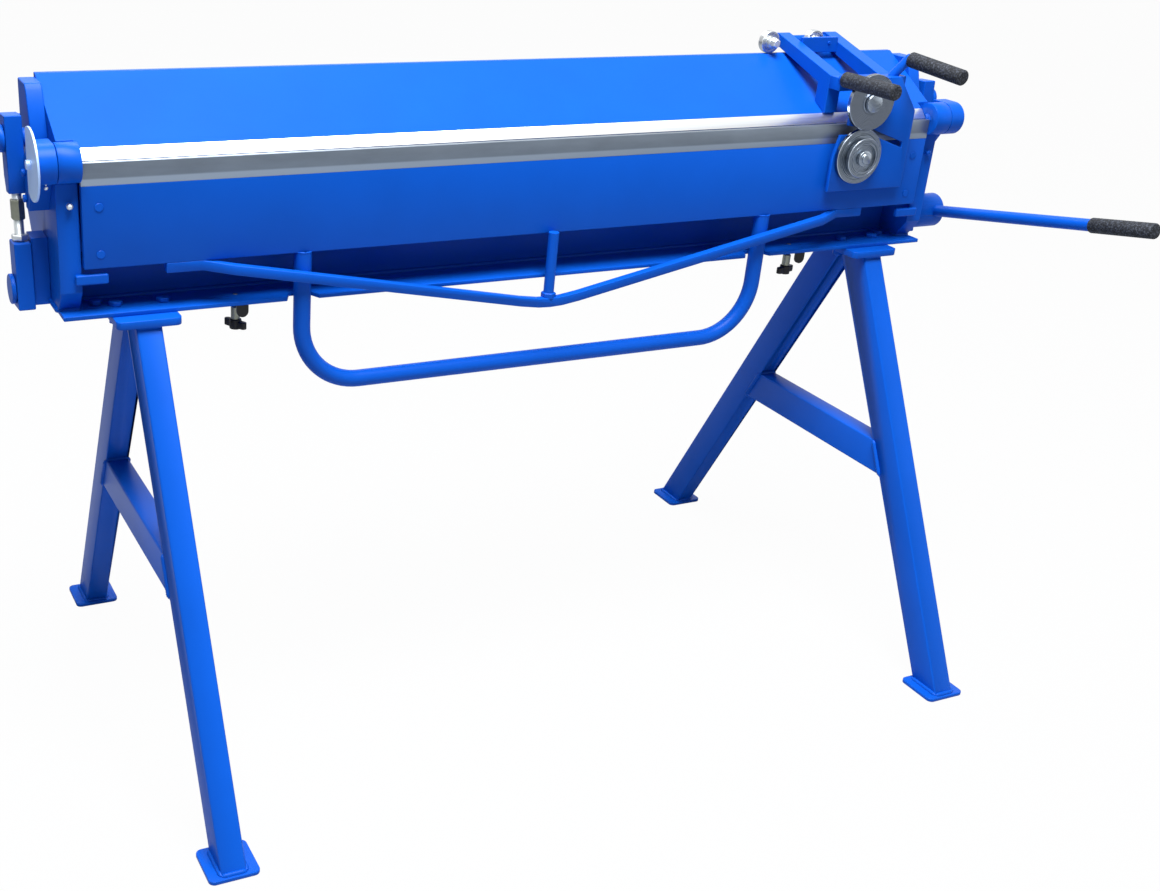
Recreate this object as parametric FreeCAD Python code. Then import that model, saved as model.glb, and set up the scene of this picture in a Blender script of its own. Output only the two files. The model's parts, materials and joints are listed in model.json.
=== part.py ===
import FreeCAD, Part
import math, os

os.makedirs("parts", exist_ok=True)
V = FreeCAD.Vector

# Sizes in mm. X runs along the bed, Y from front to back, Z up from the floor.
# The machine's middle plane is X = 0; the trestles stand astride Y = 0.

# Working length and bed
WORK_LENGTH = 1400.0
BED_HEIGHT_OVER_FLANGE = 204.0
BED_BAR_THICK = 28.0
BED_FRONT_Y = -32.0
BED_DEPTH = 92.0

# Trestles
TRESTLE_INSET = 80.0
LEG_WIDTH = 36.0
LEG_DEPTH = 50.0
LEG_TILT = 28.8
TUBE_WALL = 3.0
STAND_HEIGHT = 657.0
CROSSBAR_BOTTOM = 311.0
CROSSBAR_HEIGHT = 54.0
FOOT_SIDE = 72.0
FOOT_THICK = 6.0
PLATE_CORNER_R = 9.0
TOP_PLATE_X = 90.0
TOP_PLATE_Y = 128.0
TOP_PLATE_THICK = 11.0

# Base
FLANGE_THICK = 6.0
FLANGE_LIP = 8.0
FLANGE_DEPTH = 140.0
FLANGE_OVERHANG = 30.0
WEB_SETBACK = 61.0
WEB_THICK = 8.0
WEB_END_GAP = 57.0
NOTCH_FRONT_WIDTH = 48.0
NOTCH_BACK_WIDTH = 29.0
NOTCH_DEPTH = 20.0

# Bolts between the base and the trestles
BOLT_R = 5.0
BOLT_HOLE_CLEARANCE = 0.5
BOLT_HEAD_FLATS = 17.0
BOLT_HEAD_HIGH = 6.4
BOLT_NUT_HIGH = 8.0
BOLT_SPREAD_X = 33.0
BOLT_FRONT_Y = -8.0
BOLT_BACK_Y = 50.0
END_BOLT_INSET = 53.0
END_BOLT_Y = 6.0

# End plates
END_PLATE_GAP = 2.0
END_PLATE_THICK = 29.0
END_PLATE_PROUD = 1.0
END_PLATE_TOP_DROP = 2.0
END_PLATE_CHAMFER_Y = 22.0
END_PLATE_CHAMFER_Z = 30.0
END_PLATE_REAR_DROP = 16.0
END_PLATE_STEP_GAP = 2.0
END_PLATE_REAR_SLOPE_DROP = 78.0
REAR_LUG_THICK = 18.0
REAR_LUG_R = 20.0

# Folding axis, knuckles and hinge brackets
FOLD_AHEAD = 3.0
KNUCKLE_R = 26.0
KNUCKLE_THICK = 30.0
KNUCKLE_CLEARANCE = 1.5
HINGE_PIN_R = 9.0
RUNNING_FIT = 0.05
BRACKET_THICK = 26.0
BRACKET_DROP = 72.0
BRACKET_REACH = 65.0
BRACKET_FOOT_DEPTH = 20.0
BRACKET_TOP_DROP = 8.0
BRACKET_BOLT_R = 5.0
BRACKET_BOLT_HIGH = 5.0
BRACKET_BOLT_EDGE = 8.0
BRACKET_BOLT_RISES = (14.0, 48.0)
GREASE_R = 4.5
GREASE_NECK_R = 3.4
GREASE_NECK_LONG = 3.5
GREASE_Z_DROP = 56.0

# Folding beam
BEAM_FACE_AHEAD = 7.6
BEAM_PLATE_THICK = 12.0
BEAM_BOTTOM_DROP = 140.0
BLADE_HIGH = 30.0
BLADE_THICK = 8.0
RETURN_DEPTH = 42.0
RETURN_THICK = 12.0
BEAM_SCREW_R = 6.0
BEAM_SCREW_HIGH = 2.0
BEAM_SCREW_INSET = 22.0
BEAM_SCREW_DROPS = (58.0, 121.0)

# Truss bar, strut and pull handle of the folding beam
TIE_DEPTH = 13.0
TIE_HIGH = 14.0
TIE_END_INSET = 118.0
TIE_FLAT = 42.0
TIE_JOGGLE = 40.0
TIE_LAP = 3.0
TIE_DROP = 109.0
TIE_BEND = ((50.0, 50.0), (20.0, 27.0), (0.0, 22.0))
STRUT_R = 8.0
STRUT_NUT_FLATS = 20.0
STRUT_NUT_HIGH = 9.0
STRUT_NUT_RISE = 10.0
HANDLE_INSET = 307.0
HANDLE_TUBE_R = 12.5
HANDLE_WALL = 2.5
HANDLE_BEND_R = 90.0
HANDLE_DROP = 201.0
HANDLE_SETBACK = 8.0

# Protractor on the left hinge
DISC_R = 50.0
DISC_THICK = 3.0
DISC_GAP = 0.5
DISC_SCREW_R = 7.0
DISC_SCREW_HIGH = 4.0

# Upper beam
CLAMP_GAP = 0.3
NOSE_PROUD = 1.0
NOSE_BAND_Y = 13.0
NOSE_RISE = 14.2
NOSE_DEPTH = 53.0
SLOPE_ANGLE = 30.5
UPPER_PLATE_THICK = 8.0
SLOPE_DEPTH = 123.0
UPPER_OVERHANG = 22.0
NOSE_END_GAP = 0.6

# Cheeks and rear pivot of the upper beam
CHEEK_THICK = 22.5
CHEEK_FRONT_SETBACK = 68.0
CHEEK_HIGH = 82.0
CHEEK_CORNER = 14.0
CHEEK_TOP_BEHIND_SLOPE = 1.0
CHEEK_RISE_OVER_BED = 6.0
PIVOT_BEHIND_SLOPE = 67.0
PIVOT_OVER_BED = 12.0
PIVOT_PIN_R = 10.0
CHEEK_END_R = 19.0

# Clamping linkage
LINK_CHEEK_GAP = 9.0
LINK_THICK = 23.0
LINK_PIN_BEHIND_SHAFT = 5.0
LINK_PIN_OVER_BED = 14.0
LINK_PIN_R = 8.0
LINK_PIN_HEAD_R = 18.0
LINK_PIN_HEAD_LONG = 7.0
LINK_FACE_GAP = 0.5
UPPER_LINK_DEPTH = 34.0
UPPER_LINK_LONG = 72.0
UPPER_LINK_TIP = 13.0
UPPER_LINK_TAPER = 22.0
TURNBUCKLE_FLATS = 17.0
TURNBUCKLE_START = 80.0
TURNBUCKLE_LONG = 27.0
LINK_NECK_R = 5.5
LOCKNUT_FLATS = 20.0
LOCKNUT_HIGH = 8.0
LOWER_LINK_DEPTH = 36.0
LOWER_LINK_HEAD = 70.0

# Cross shaft with its eccentrics
SHAFT_BEHIND_WEB = 13.0
SHAFT_OVER_FLANGE = 21.0
SHAFT_R = 9.0
ECCENTRICITY = 10.0
ECCENTRIC_R = 22.0
ECCENTRIC_ANGLE = 50.0
STRAP_PLAY = 2.5
STRAP_SHIFT_Y = -1.8
STRAP_WALL = 7.5
BEARING_BLOCK_THICK = 21.5
BEARING_BLOCK_DEPTH = 56.0
BEARING_BLOCK_DROP = 29.0
BEARING_BLOCK_RISE = 68.0
SHAFT_HOLE_R = 10.5
SHAFT_WASHER_R = 18.0
SHAFT_WASHER_THICK = 6.0

# Clamping lever
HUB_R = 29.0
HUB_LONG = 54.0
ROD_R = 8.5
LEVER_UP_ANGLE = 11.0
LEVER_LONG = 478.0
LEVER_GRIP_R = 12.0
LEVER_GRIP_LONG = 116.0
LEVER_GRIP_CAP = 8.0

# Hand screws under the flange
HAND_SCREW_INSET = 218.0
HAND_SCREW_SETBACK = 27.0
HAND_STUD_R = 4.0
HAND_THREAD_PLAY = 0.05
HAND_STUD_ABOVE = 8.0
HAND_NECK_R = 6.5
HAND_NECK_TOP_DROP = 12.0
HAND_KNOB_R = 8.5
HAND_WING_LONG = 39.0
HAND_WING_WIDE = 9.5
HAND_WING_HIGH = 10.0
HAND_WING_TURN = {"left": -61.0, "right": 17.0}
HAND_KNOB_HIGH = 14.0
HAND_KNOB_TOP_DROP = 31.0

# Small lugs welded to the base: ears under the flange and bars on the end plates
EAR_WIDE = 17.0
EAR_HIGH = 18.0
EAR_THICK = 6.0
EAR_EDGE_GAP = 1.0
FRONT_LUG_LONG = 50.0
FRONT_LUG_OVERLAP = 10.0
FRONT_LUG_THICK = 9.0
FRONT_LUG_HIGH = 13.0
FRONT_LUG_OVER_FLANGE = 38.0

# Shear carriage: X places are measured from the cutters' axes, heights from the bed
RAIL_Z_GAP = 0.3
CUTTER_INSET = 155.0
TRUCK_BEHIND_RAIL = 15.0
TRUCK_R = 7.0
TRUCK_REACH = 90.0
WHEEL_R = 17.5
WHEEL_WIDE = 11.0
WHEEL_PLACES = (-78.0, 12.0)
AXLE_R = 4.0
AXLE_COLLAR_R = 10.0
AXLE_COLLAR_HIGH = 4.0
AXLE_NECKS = (0.0, 16.0)
AXLE_HEAD_R = 6.5
AXLE_HEAD_HIGH = 6.0
WHEEL_SIDE_GAP = 0.5
MEMBER_PLACES = (-51.0, 45.0)
MEMBER_WIDE = 24.0
MEMBER_FIT = 0.05
MEMBER_END_R = 11.5
MEMBER_FRONT_RISE = 74.0
MEMBER_DEEP = 22.0
LEG_BEHIND_NOSE = 9.0
LEG_THICK = 24.0
LEG_FOOT_GAP = 0.5
CROSS_REACH = 81.0
CROSS_HIGH = 20.0
CROSS_DEEP = 26.0
REAR_PLATE_THICK = 8.0
REAR_PLATE_AHEAD = 14.5
REAR_PLATE_LOW = 15.0
REAR_PLATE_RISE = 6.0
REAR_PLATE_SLOT_PLAY = 1.0
SHEAR_PLATE_THICK = 7.0
SHEAR_LEFT = 46.0
SHEAR_RIGHT = 106.0
SHEAR_BOTTOM_DROP = 105.0
SHEAR_CHAMFER_X = 9.0
SHEAR_CHAMFER_Z = 34.0
SHEAR_TOP_RIGHT = 65.0
SHEAR_SHOULDER_RISE = 20.0
SHEAR_UPPER_LEFT = 25.0
SHEAR_WEB = 14.0
THROAT_BEND = 21.0
THROAT_DROP = 10.0
THROAT_FALL = 25.0
THROAT_HIGH = 9.0
THROAT_MOUTH = 6.0
CUTTER_R = 44.0
CUTTER_THICK = 7.5
CUTTER_LAP = 1.0
CUTTER_FACE_GAP = 0.2
UPPER_CUTTER_RISE = 39.0
CUTTER_PLATE_GAP = 1.3
SPINDLE_R = 8.0
UPPER_SPINDLE_HEAD_R = 14.5
LOWER_SPINDLE_HEAD_R = 12.5
SPINDLE_HEAD_HIGH = 6.0
SPINDLE_TIP_HIGH = 4.0
LOWER_HUB_R = 32.0
LOWER_HUB_HIGH = 12.0
LOWER_HUB_RECESS_R = 22.0
LOWER_HUB_RECESS = 4.0
GRIP_ROD_R = 6.0
GRIP_R = 12.0
GRIP_LONG = 118.0
GRIP_START_GAP = 4.0
GRIP_DROOP = 4.7
LEFT_GRIP = -47.5
LEFT_GRIP_DROP = 1.0
RIGHT_GRIP = 77.0
RIGHT_GRIP_RISE = 26.0
RIGHT_ROD_ROOT = 61.0

# Heights and places that follow from the sizes above
TOP_PLATE_Z = STAND_HEIGHT + TOP_PLATE_THICK
FLANGE_TOP = TOP_PLATE_Z + FLANGE_THICK
BED_Z = FLANGE_TOP + BED_HEIGHT_OVER_FLANGE
BED_BAR_Z = BED_Z - BED_BAR_THICK
HALF = WORK_LENGTH / 2
END_IN = HALF + END_PLATE_GAP
END_OUT = END_IN + END_PLATE_THICK
TRESTLE_X = HALF - TRESTLE_INSET
LEG_HALF_Y = LEG_DEPTH / 2 / math.cos(math.radians(LEG_TILT))
LEG_SLOPE = math.tan(math.radians(LEG_TILT))
BED_BACK_Y = BED_FRONT_Y + BED_DEPTH
FLANGE_FRONT_Y = BED_FRONT_Y - FLANGE_LIP
FLANGE_BACK_Y = FLANGE_FRONT_Y + FLANGE_DEPTH
WEB_FRONT_Y = BED_FRONT_Y + WEB_SETBACK
END_PLATE_FRONT_Y = BED_FRONT_Y - END_PLATE_PROUD
FOLD_Y = BED_FRONT_Y - FOLD_AHEAD
KNUCKLE_OUT = HALF + KNUCKLE_THICK
BRACKET_OUT = END_OUT + BRACKET_THICK
BRACKET_BACK_Y = FOLD_Y + BRACKET_REACH
BEAM_FACE_Y = FOLD_Y - BEAM_FACE_AHEAD
BEAM_BACK_Y = BEAM_FACE_Y + BEAM_PLATE_THICK
BEAM_BOTTOM = BED_Z - BEAM_BOTTOM_DROP
BLADE_BOTTOM = BED_Z - BLADE_HIGH
TIE_END_X = HALF - TIE_END_INSET
TIE_BEND_X = TIE_END_X - TIE_FLAT
TIE_CLEAR_X = TIE_BEND_X - TIE_JOGGLE
TIE_MIDDLE_Z = BEAM_BOTTOM - TIE_DROP
HANDLE_X = HALF - HANDLE_INSET
HANDLE_Y = BEAM_FACE_Y + HANDLE_SETBACK
HANDLE_BOTTOM_Z = BEAM_BOTTOM - HANDLE_DROP
CLAMP_Z = BED_Z + CLAMP_GAP
NOSE_TIP_Y = BED_FRONT_Y - NOSE_PROUD
NOSE_TOP_Y = NOSE_TIP_Y + NOSE_BAND_Y
NOSE_BACK_Y = NOSE_TIP_Y + NOSE_DEPTH
NOSE_TOP_Z = CLAMP_Z + NOSE_RISE
NOSE_END = HALF - NOSE_END_GAP
SLOPE = math.tan(math.radians(SLOPE_ANGLE))
SLOPE_BACK_Y = NOSE_TOP_Y + SLOPE_DEPTH
SLOPE_BACK_Z = NOSE_TOP_Z + SLOPE_DEPTH * SLOPE
UPPER_END = HALF + UPPER_OVERHANG
CHEEK_OUT = UPPER_END + CHEEK_THICK
CHEEK_FRONT_Y = BED_FRONT_Y + CHEEK_FRONT_SETBACK
CHEEK_TOP_Z = BED_Z + CHEEK_HIGH
CHEEK_BACK_Y = SLOPE_BACK_Y + CHEEK_TOP_BEHIND_SLOPE
PIVOT_Y = SLOPE_BACK_Y + PIVOT_BEHIND_SLOPE
PIVOT_Z = BED_Z + PIVOT_OVER_BED
SHAFT_Y = WEB_FRONT_Y + WEB_THICK + SHAFT_BEHIND_WEB
SHAFT_Z = FLANGE_TOP + SHAFT_OVER_FLANGE
LINK_PIN_Y = SHAFT_Y + LINK_PIN_BEHIND_SHAFT
LINK_PIN_Z = BED_Z + LINK_PIN_OVER_BED
LINK_IN = CHEEK_OUT + LINK_CHEEK_GAP
LINK_OUT = LINK_IN + LINK_THICK
LINK_X = (LINK_IN + LINK_OUT) / 2
ECC = math.radians(ECCENTRIC_ANGLE)
ECC_Y = SHAFT_Y - ECCENTRICITY * math.cos(ECC)
ECC_Z = SHAFT_Z - ECCENTRICITY * math.sin(ECC)
STRAP_Y = ECC_Y + STRAP_SHIFT_Y
STRAP_R = ECCENTRIC_R + STRAP_PLAY
LINK_LONG = math.hypot(LINK_PIN_Y - STRAP_Y, LINK_PIN_Z - ECC_Z)
LINK_LEAN = math.degrees(math.atan2(LINK_PIN_Y - STRAP_Y, LINK_PIN_Z - ECC_Z))
HUB_IN = LINK_OUT + LINK_FACE_GAP + SHAFT_WASHER_THICK
HUB_OUT = HUB_IN + HUB_LONG
HAND_SCREW_X = HALF - HAND_SCREW_INSET
HAND_SCREW_Y = BED_FRONT_Y + HAND_SCREW_SETBACK
RAIL_Z = SLOPE_BACK_Z
RAIL_Y = SLOPE_BACK_Y + UPPER_PLATE_THICK / 2
TRUCK_Y = RAIL_Y + TRUCK_BEHIND_RAIL
WHEEL_Z = RAIL_Z + RAIL_Z_GAP + WHEEL_R
CUTTER_X = HALF - CUTTER_INSET
WHEEL_XS = tuple(CUTTER_X + place for place in WHEEL_PLACES)
MEMBER_XS = tuple(CUTTER_X + place for place in MEMBER_PLACES)
MEMBER_FRONT_Z = BED_Z + MEMBER_FRONT_RISE
LEG_FRONT_Y = NOSE_TIP_Y + LEG_BEHIND_NOSE
CROSS_FRONT_Y = LEG_FRONT_Y - CROSS_DEEP
PLATE_FRONT_Y = CROSS_FRONT_Y - SHEAR_PLATE_THICK
UPPER_CUTTER_Z = BED_Z + UPPER_CUTTER_RISE
LOWER_CUTTER_Z = UPPER_CUTTER_Z - 2 * CUTTER_R + CUTTER_LAP
LOWER_CUTTER_Y = PLATE_FRONT_Y - CUTTER_PLATE_GAP
CUT_Y = LOWER_CUTTER_Y - CUTTER_THICK
THROAT_Z = BED_Z - THROAT_DROP
SIDES = (("left", -1), ("right", 1))


# Shape helpers
def box(x0, x1, y0, y1, z0, z1):
    return Part.makeBox(x1 - x0, y1 - y0, z1 - z0, V(x0, y0, z0))


def face(points):
    return Part.Face(Part.makePolygon(points + points[:1]))


def yz_prism(points, x0, x1):
    return face([V(x0, y, z) for y, z in points]).extrude(V(x1 - x0, 0, 0))


def xz_prism(points, y0, y1):
    return face([V(x, y0, z) for x, z in points]).extrude(V(0, y1 - y0, 0))


def cyl_x(r, y, z, x0, x1):
    return Part.makeCylinder(r, x1 - x0, V(x0, y, z), V(1, 0, 0))


def cyl_y(r, x, z, y0, y1):
    return Part.makeCylinder(r, y1 - y0, V(x, y0, z), V(0, 1, 0))


def cyl_z(r, x, y, z0, z1):
    return Part.makeCylinder(r, z1 - z0, V(x, y, z0), V(0, 0, 1))


def hex_z(flats, x, y, z0, z1):
    r = flats / math.sqrt(3)
    corners = [V(x + r * math.cos(math.pi * k / 3), y + r * math.sin(math.pi * k / 3), z0) for k in range(6)]
    return face(corners).extrude(V(0, 0, z1 - z0))


def rounded_plate(wide, deep, thick, corner, x, y, z):
    plate = box(x - wide / 2, x + wide / 2, y - deep / 2, y + deep / 2, z, z + thick)
    upright = [e for e in plate.Edges if abs(e.Vertexes[0].Z - e.Vertexes[1].Z) > thick / 2]
    return plate.makeFillet(corner, upright)


def flip_x(shape):
    return shape.mirror(V(0, 0, 0), V(1, 0, 0))


def on_side(shape, side):
    return shape if side > 0 else flip_x(shape)


def both_sides(shape):
    return [flip_x(shape), shape]


def fuse(*shapes):
    return shapes[0].multiFuse(list(shapes[1:])).removeSplitter()


# Every node is kept here and written out at the end
NODES = {}


def node(name, *solids):
    NODES[name] = Part.makeCompound([s for shape in solids for s in shape.Solids])


# Trestles
def leg_line(z):
    return LEG_HALF_Y + (STAND_HEIGHT - z) * LEG_SLOPE


def leg_profile(shrink):
    half = LEG_HALF_Y - shrink / math.cos(math.radians(LEG_TILT))
    low, high = leg_line(FOOT_THICK), leg_line(STAND_HEIGHT)
    return [(low - half, FOOT_THICK), (low + half, FOOT_THICK),
            (high + half, STAND_HEIGHT), (high - half, STAND_HEIGHT)]


def leg(side, back):
    x0, x1 = TRESTLE_X - LEG_WIDTH / 2, TRESTLE_X + LEG_WIDTH / 2
    tube = yz_prism(leg_profile(0), x0, x1)
    tube = tube.cut(yz_prism(leg_profile(TUBE_WALL), x0 + TUBE_WALL, x1 - TUBE_WALL))
    if not back:
        tube = tube.mirror(V(0, 0, 0), V(0, 1, 0))
    return on_side(tube, side)


def crossbar(side):
    x0, x1 = TRESTLE_X - LEG_WIDTH / 2, TRESTLE_X + LEG_WIDTH / 2
    low, high = CROSSBAR_BOTTOM, CROSSBAR_BOTTOM + CROSSBAR_HEIGHT

    def trapezoid(z0, z1):
        a, b = leg_line(z0) - LEG_HALF_Y, leg_line(z1) - LEG_HALF_Y
        return [(-a, z0), (a, z0), (b, z1), (-b, z1)]
    bar = yz_prism(trapezoid(low, high), x0, x1)
    hollow = yz_prism(trapezoid(low + TUBE_WALL, high - TUBE_WALL), x0 + TUBE_WALL, x1 - TUBE_WALL)
    return on_side(bar.cut(hollow), side)


def bolt_places():
    places = [(TRESTLE_X + s * BOLT_SPREAD_X, y, TOP_PLATE_THICK)
              for s in (-1, 1) for y in (BOLT_FRONT_Y, BOLT_BACK_Y)]
    places.append((HALF + FLANGE_OVERHANG - END_BOLT_INSET, END_BOLT_Y, 0.0))
    return places


def bolt_holes(z0, z1):
    r = BOLT_R + BOLT_HOLE_CLEARANCE
    return [h for x, y, grip in bolt_places() for h in both_sides(cyl_z(r, x, y, z0, z1))]


def base_bolt(x, y, plate):
    under = TOP_PLATE_Z - plate
    head = hex_z(BOLT_HEAD_FLATS, x, y, FLANGE_TOP, FLANGE_TOP + BOLT_HEAD_HIGH)
    shank = cyl_z(BOLT_R, x, y, under - BOLT_NUT_HIGH - 2, FLANGE_TOP)
    nut = hex_z(BOLT_HEAD_FLATS, x, y, under - BOLT_NUT_HIGH, under).cut(shank)
    return [fuse(head, shank), nut]


def make_trestles():
    node("trestle_legs", *[leg(side, back) for side in (-1, 1) for back in (False, True)])
    node("trestle_crossbars", crossbar(-1), crossbar(1))
    top = rounded_plate(TOP_PLATE_X, TOP_PLATE_Y, TOP_PLATE_THICK, PLATE_CORNER_R, TRESTLE_X, 0, STAND_HEIGHT)
    node("trestle_top_plates", *[p.cut(bolt_holes(STAND_HEIGHT, TOP_PLATE_Z)) for p in both_sides(top)])
    foot_y = leg_line(FOOT_THICK)
    feet = [rounded_plate(FOOT_SIDE, FOOT_SIDE, FOOT_THICK, PLATE_CORNER_R, side * TRESTLE_X, s * foot_y, 0)
            for side in (-1, 1) for s in (-1, 1)]
    node("trestle_foot_plates", *feet)
    bolts = [s for place in bolt_places() for piece in base_bolt(*place) for s in both_sides(piece)]
    node("base_bolts", *bolts)


# Base: flange, web, bed bar and end plates
def handle_notch():
    a, b = NOTCH_FRONT_WIDTH / 2, NOTCH_BACK_WIDTH / 2
    y0, y1, z = FLANGE_FRONT_Y, FLANGE_FRONT_Y + NOTCH_DEPTH, TOP_PLATE_Z
    points = [V(HANDLE_X - a, y0, z), V(HANDLE_X + a, y0, z), V(HANDLE_X + b, y1, z), V(HANDLE_X - b, y1, z)]
    return face(points).extrude(V(0, 0, FLANGE_THICK))


def end_plate():
    top = BED_Z - END_PLATE_TOP_DROP
    rear_top = BED_Z - END_PLATE_REAR_DROP
    low = FLANGE_TOP
    front, back = END_PLATE_FRONT_Y, PIVOT_Y + REAR_LUG_R
    step = CHEEK_FRONT_Y - END_PLATE_STEP_GAP
    profile = [(front + END_PLATE_CHAMFER_Y, low), (FLANGE_BACK_Y, low),
               (back, BED_Z - END_PLATE_REAR_SLOPE_DROP), (back, rear_top), (step, rear_top), (step, top),
               (front, top), (front, low + END_PLATE_CHAMFER_Z)]
    plate = yz_prism(profile, END_IN, END_OUT)
    plate = plate.cut(cyl_x(KNUCKLE_R + KNUCKLE_CLEARANCE, FOLD_Y, BED_Z, END_IN, END_OUT))
    lug_out = END_IN + REAR_LUG_THICK
    lug = fuse(cyl_x(REAR_LUG_R, PIVOT_Y, PIVOT_Z, END_IN, lug_out),
               box(END_IN, lug_out, PIVOT_Y - REAR_LUG_R, back, rear_top - REAR_LUG_R, PIVOT_Z))
    plate = fuse(plate, lug)
    plate = plate.cut(cyl_x(PIVOT_PIN_R, PIVOT_Y, PIVOT_Z, END_IN, lug_out))
    return plate.cut(cyl_x(SHAFT_HOLE_R, SHAFT_Y, SHAFT_Z, END_IN, END_OUT))


def flange_ear():
    back = FLANGE_FRONT_Y + EAR_EDGE_GAP + EAR_THICK
    half, centre = EAR_WIDE / 2, TOP_PLATE_Z - EAR_HIGH + EAR_WIDE / 2
    ear = box(HAND_SCREW_X - half, HAND_SCREW_X + half, back - EAR_THICK, back, centre, TOP_PLATE_Z)
    return fuse(ear, cyl_y(half, HAND_SCREW_X, centre, back - EAR_THICK, back))


def front_lug():
    outer = END_IN + FRONT_LUG_OVERLAP
    low = FLANGE_TOP + FRONT_LUG_OVER_FLANGE
    return box(outer - FRONT_LUG_LONG, outer, END_PLATE_FRONT_Y - FRONT_LUG_THICK, END_PLATE_FRONT_Y,
               low, low + FRONT_LUG_HIGH)


def make_base():
    end = HALF + FLANGE_OVERHANG
    flange = box(-end, end, FLANGE_FRONT_Y, FLANGE_BACK_Y, TOP_PLATE_Z, FLANGE_TOP)
    stud_r = HAND_STUD_R + HAND_THREAD_PLAY
    holes = both_sides(cyl_z(stud_r, HAND_SCREW_X, HAND_SCREW_Y, TOP_PLATE_Z, FLANGE_TOP))
    flange = flange.cut(both_sides(handle_notch()) + bolt_holes(TOP_PLATE_Z, FLANGE_TOP) + holes)
    node("base_flange", flange)
    web_end = END_IN - WEB_END_GAP
    node("base_web", box(-web_end, web_end, WEB_FRONT_Y, WEB_FRONT_Y + WEB_THICK, FLANGE_TOP, BED_BAR_Z))
    bed = box(-END_IN, END_IN, BED_FRONT_Y, BED_BACK_Y, BED_BAR_Z, BED_Z)
    corner = box(HALF - KNUCKLE_CLEARANCE, END_IN, BED_FRONT_Y, FOLD_Y + KNUCKLE_R + KNUCKLE_CLEARANCE,
                 BED_BAR_Z, BED_Z)
    node("bed_bar", bed.cut(both_sides(corner)))
    node("end_plates", *both_sides(end_plate()))
    node("base_lugs", *[lug for shape in (flange_ear(), front_lug()) for lug in both_sides(shape)])


# Outer hinge brackets of the folding beam
def bracket_bolt_places():
    bottom = BED_Z - BRACKET_DROP
    return [(BRACKET_BACK_Y - BRACKET_BOLT_EDGE, bottom + rise) for rise in BRACKET_BOLT_RISES]


def hinge_bracket():
    bottom = BED_Z - BRACKET_DROP
    head = cyl_x(KNUCKLE_R, FOLD_Y, BED_Z, END_OUT, BRACKET_OUT)
    tilt = math.radians(45)
    low_y = FOLD_Y + KNUCKLE_R * math.cos(tilt) * 0.5
    low_z = BED_Z - KNUCKLE_R * math.sin(tilt) * 1.15
    body = yz_prism([(low_y, low_z), (BRACKET_BACK_Y - BRACKET_FOOT_DEPTH, bottom),
                     (BRACKET_BACK_Y, bottom), (BRACKET_BACK_Y, BED_Z - BRACKET_TOP_DROP),
                     (FOLD_Y, BED_Z + KNUCKLE_R * 0.8), (FOLD_Y, BED_Z)], END_OUT, BRACKET_OUT)
    return fuse(head, body).cut(cyl_x(HINGE_PIN_R + RUNNING_FIT, FOLD_Y, BED_Z, END_OUT, BRACKET_OUT))


def make_hinge_brackets():
    node("hinge_brackets", *both_sides(hinge_bracket()))
    bolts = [cyl_x(BRACKET_BOLT_R, y, z, BRACKET_OUT, BRACKET_OUT + BRACKET_BOLT_HIGH)
             for y, z in bracket_bolt_places()]
    node("bracket_bolts", *[s for bolt in bolts for s in both_sides(bolt)])
    x, z = (END_IN + END_OUT) / 2 - 2, BED_Z - GREASE_Z_DROP
    neck_end = END_PLATE_FRONT_Y - GREASE_NECK_LONG
    neck = cyl_y(GREASE_NECK_R, x, z, neck_end - GREASE_R, END_PLATE_FRONT_Y)
    ball = Part.makeSphere(GREASE_R, V(x, neck_end - GREASE_R / 2, z))
    node("grease_nipples", *both_sides(fuse(neck, ball)))


# Folding beam with its blade, knuckles, truss and handle
def tie_section(x, y_front, z_low):
    points = [V(x, y_front, z_low), V(x, y_front + TIE_DEPTH, z_low),
              V(x, y_front + TIE_DEPTH, z_low + TIE_HIGH), V(x, y_front, z_low + TIE_HIGH)]
    return Part.makePolygon(points + points[:1])


def tie_bar():
    near, far = BEAM_FACE_Y - TIE_DEPTH, HANDLE_Y - HANDLE_TUBE_R - TIE_DEPTH
    end_low = BEAM_BOTTOM + TIE_LAP - TIE_HIGH
    mid_low = TIE_MIDDLE_Z - TIE_HIGH / 2
    slope = (end_low - mid_low) / TIE_BEND_X
    knots = [(TIE_END_X, near, end_low), (TIE_BEND_X, near, end_low),
             (TIE_CLEAR_X, far, mid_low + slope * TIE_CLEAR_X)]
    knots += [(x, far, mid_low + slope * lift) for x, lift in TIE_BEND]
    knots = [(-x, y, z) for x, y, z in knots[:-1]] + knots[::-1]
    spans = [Part.makeLoft([tie_section(*a), tie_section(*b)], True, True) for a, b in zip(knots, knots[1:])]
    return fuse(*spans)


def handle_path(r):
    x, low = HANDLE_X, HANDLE_BOTTOM_Z
    bend = HANDLE_BEND_R
    left_mid = V(-x + bend - bend * math.sqrt(0.5), HANDLE_Y, low + bend - bend * math.sqrt(0.5))
    right_mid = V(-left_mid.x, HANDLE_Y, left_mid.z)
    edges = [Part.makeLine(V(-x, HANDLE_Y, BEAM_BOTTOM), V(-x, HANDLE_Y, low + bend)),
             Part.Arc(V(-x, HANDLE_Y, low + bend), left_mid, V(-x + bend, HANDLE_Y, low)).toShape(),
             Part.makeLine(V(-x + bend, HANDLE_Y, low), V(x - bend, HANDLE_Y, low)),
             Part.Arc(V(x - bend, HANDLE_Y, low), right_mid, V(x, HANDLE_Y, low + bend)).toShape(),
             Part.makeLine(V(x, HANDLE_Y, low + bend), V(x, HANDLE_Y, BEAM_BOTTOM))]
    circle = Part.Wire(Part.makeCircle(r, V(-x, HANDLE_Y, BEAM_BOTTOM), V(0, 0, 1)))
    return Part.Wire(edges).makePipeShell([circle], True, False)


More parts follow.
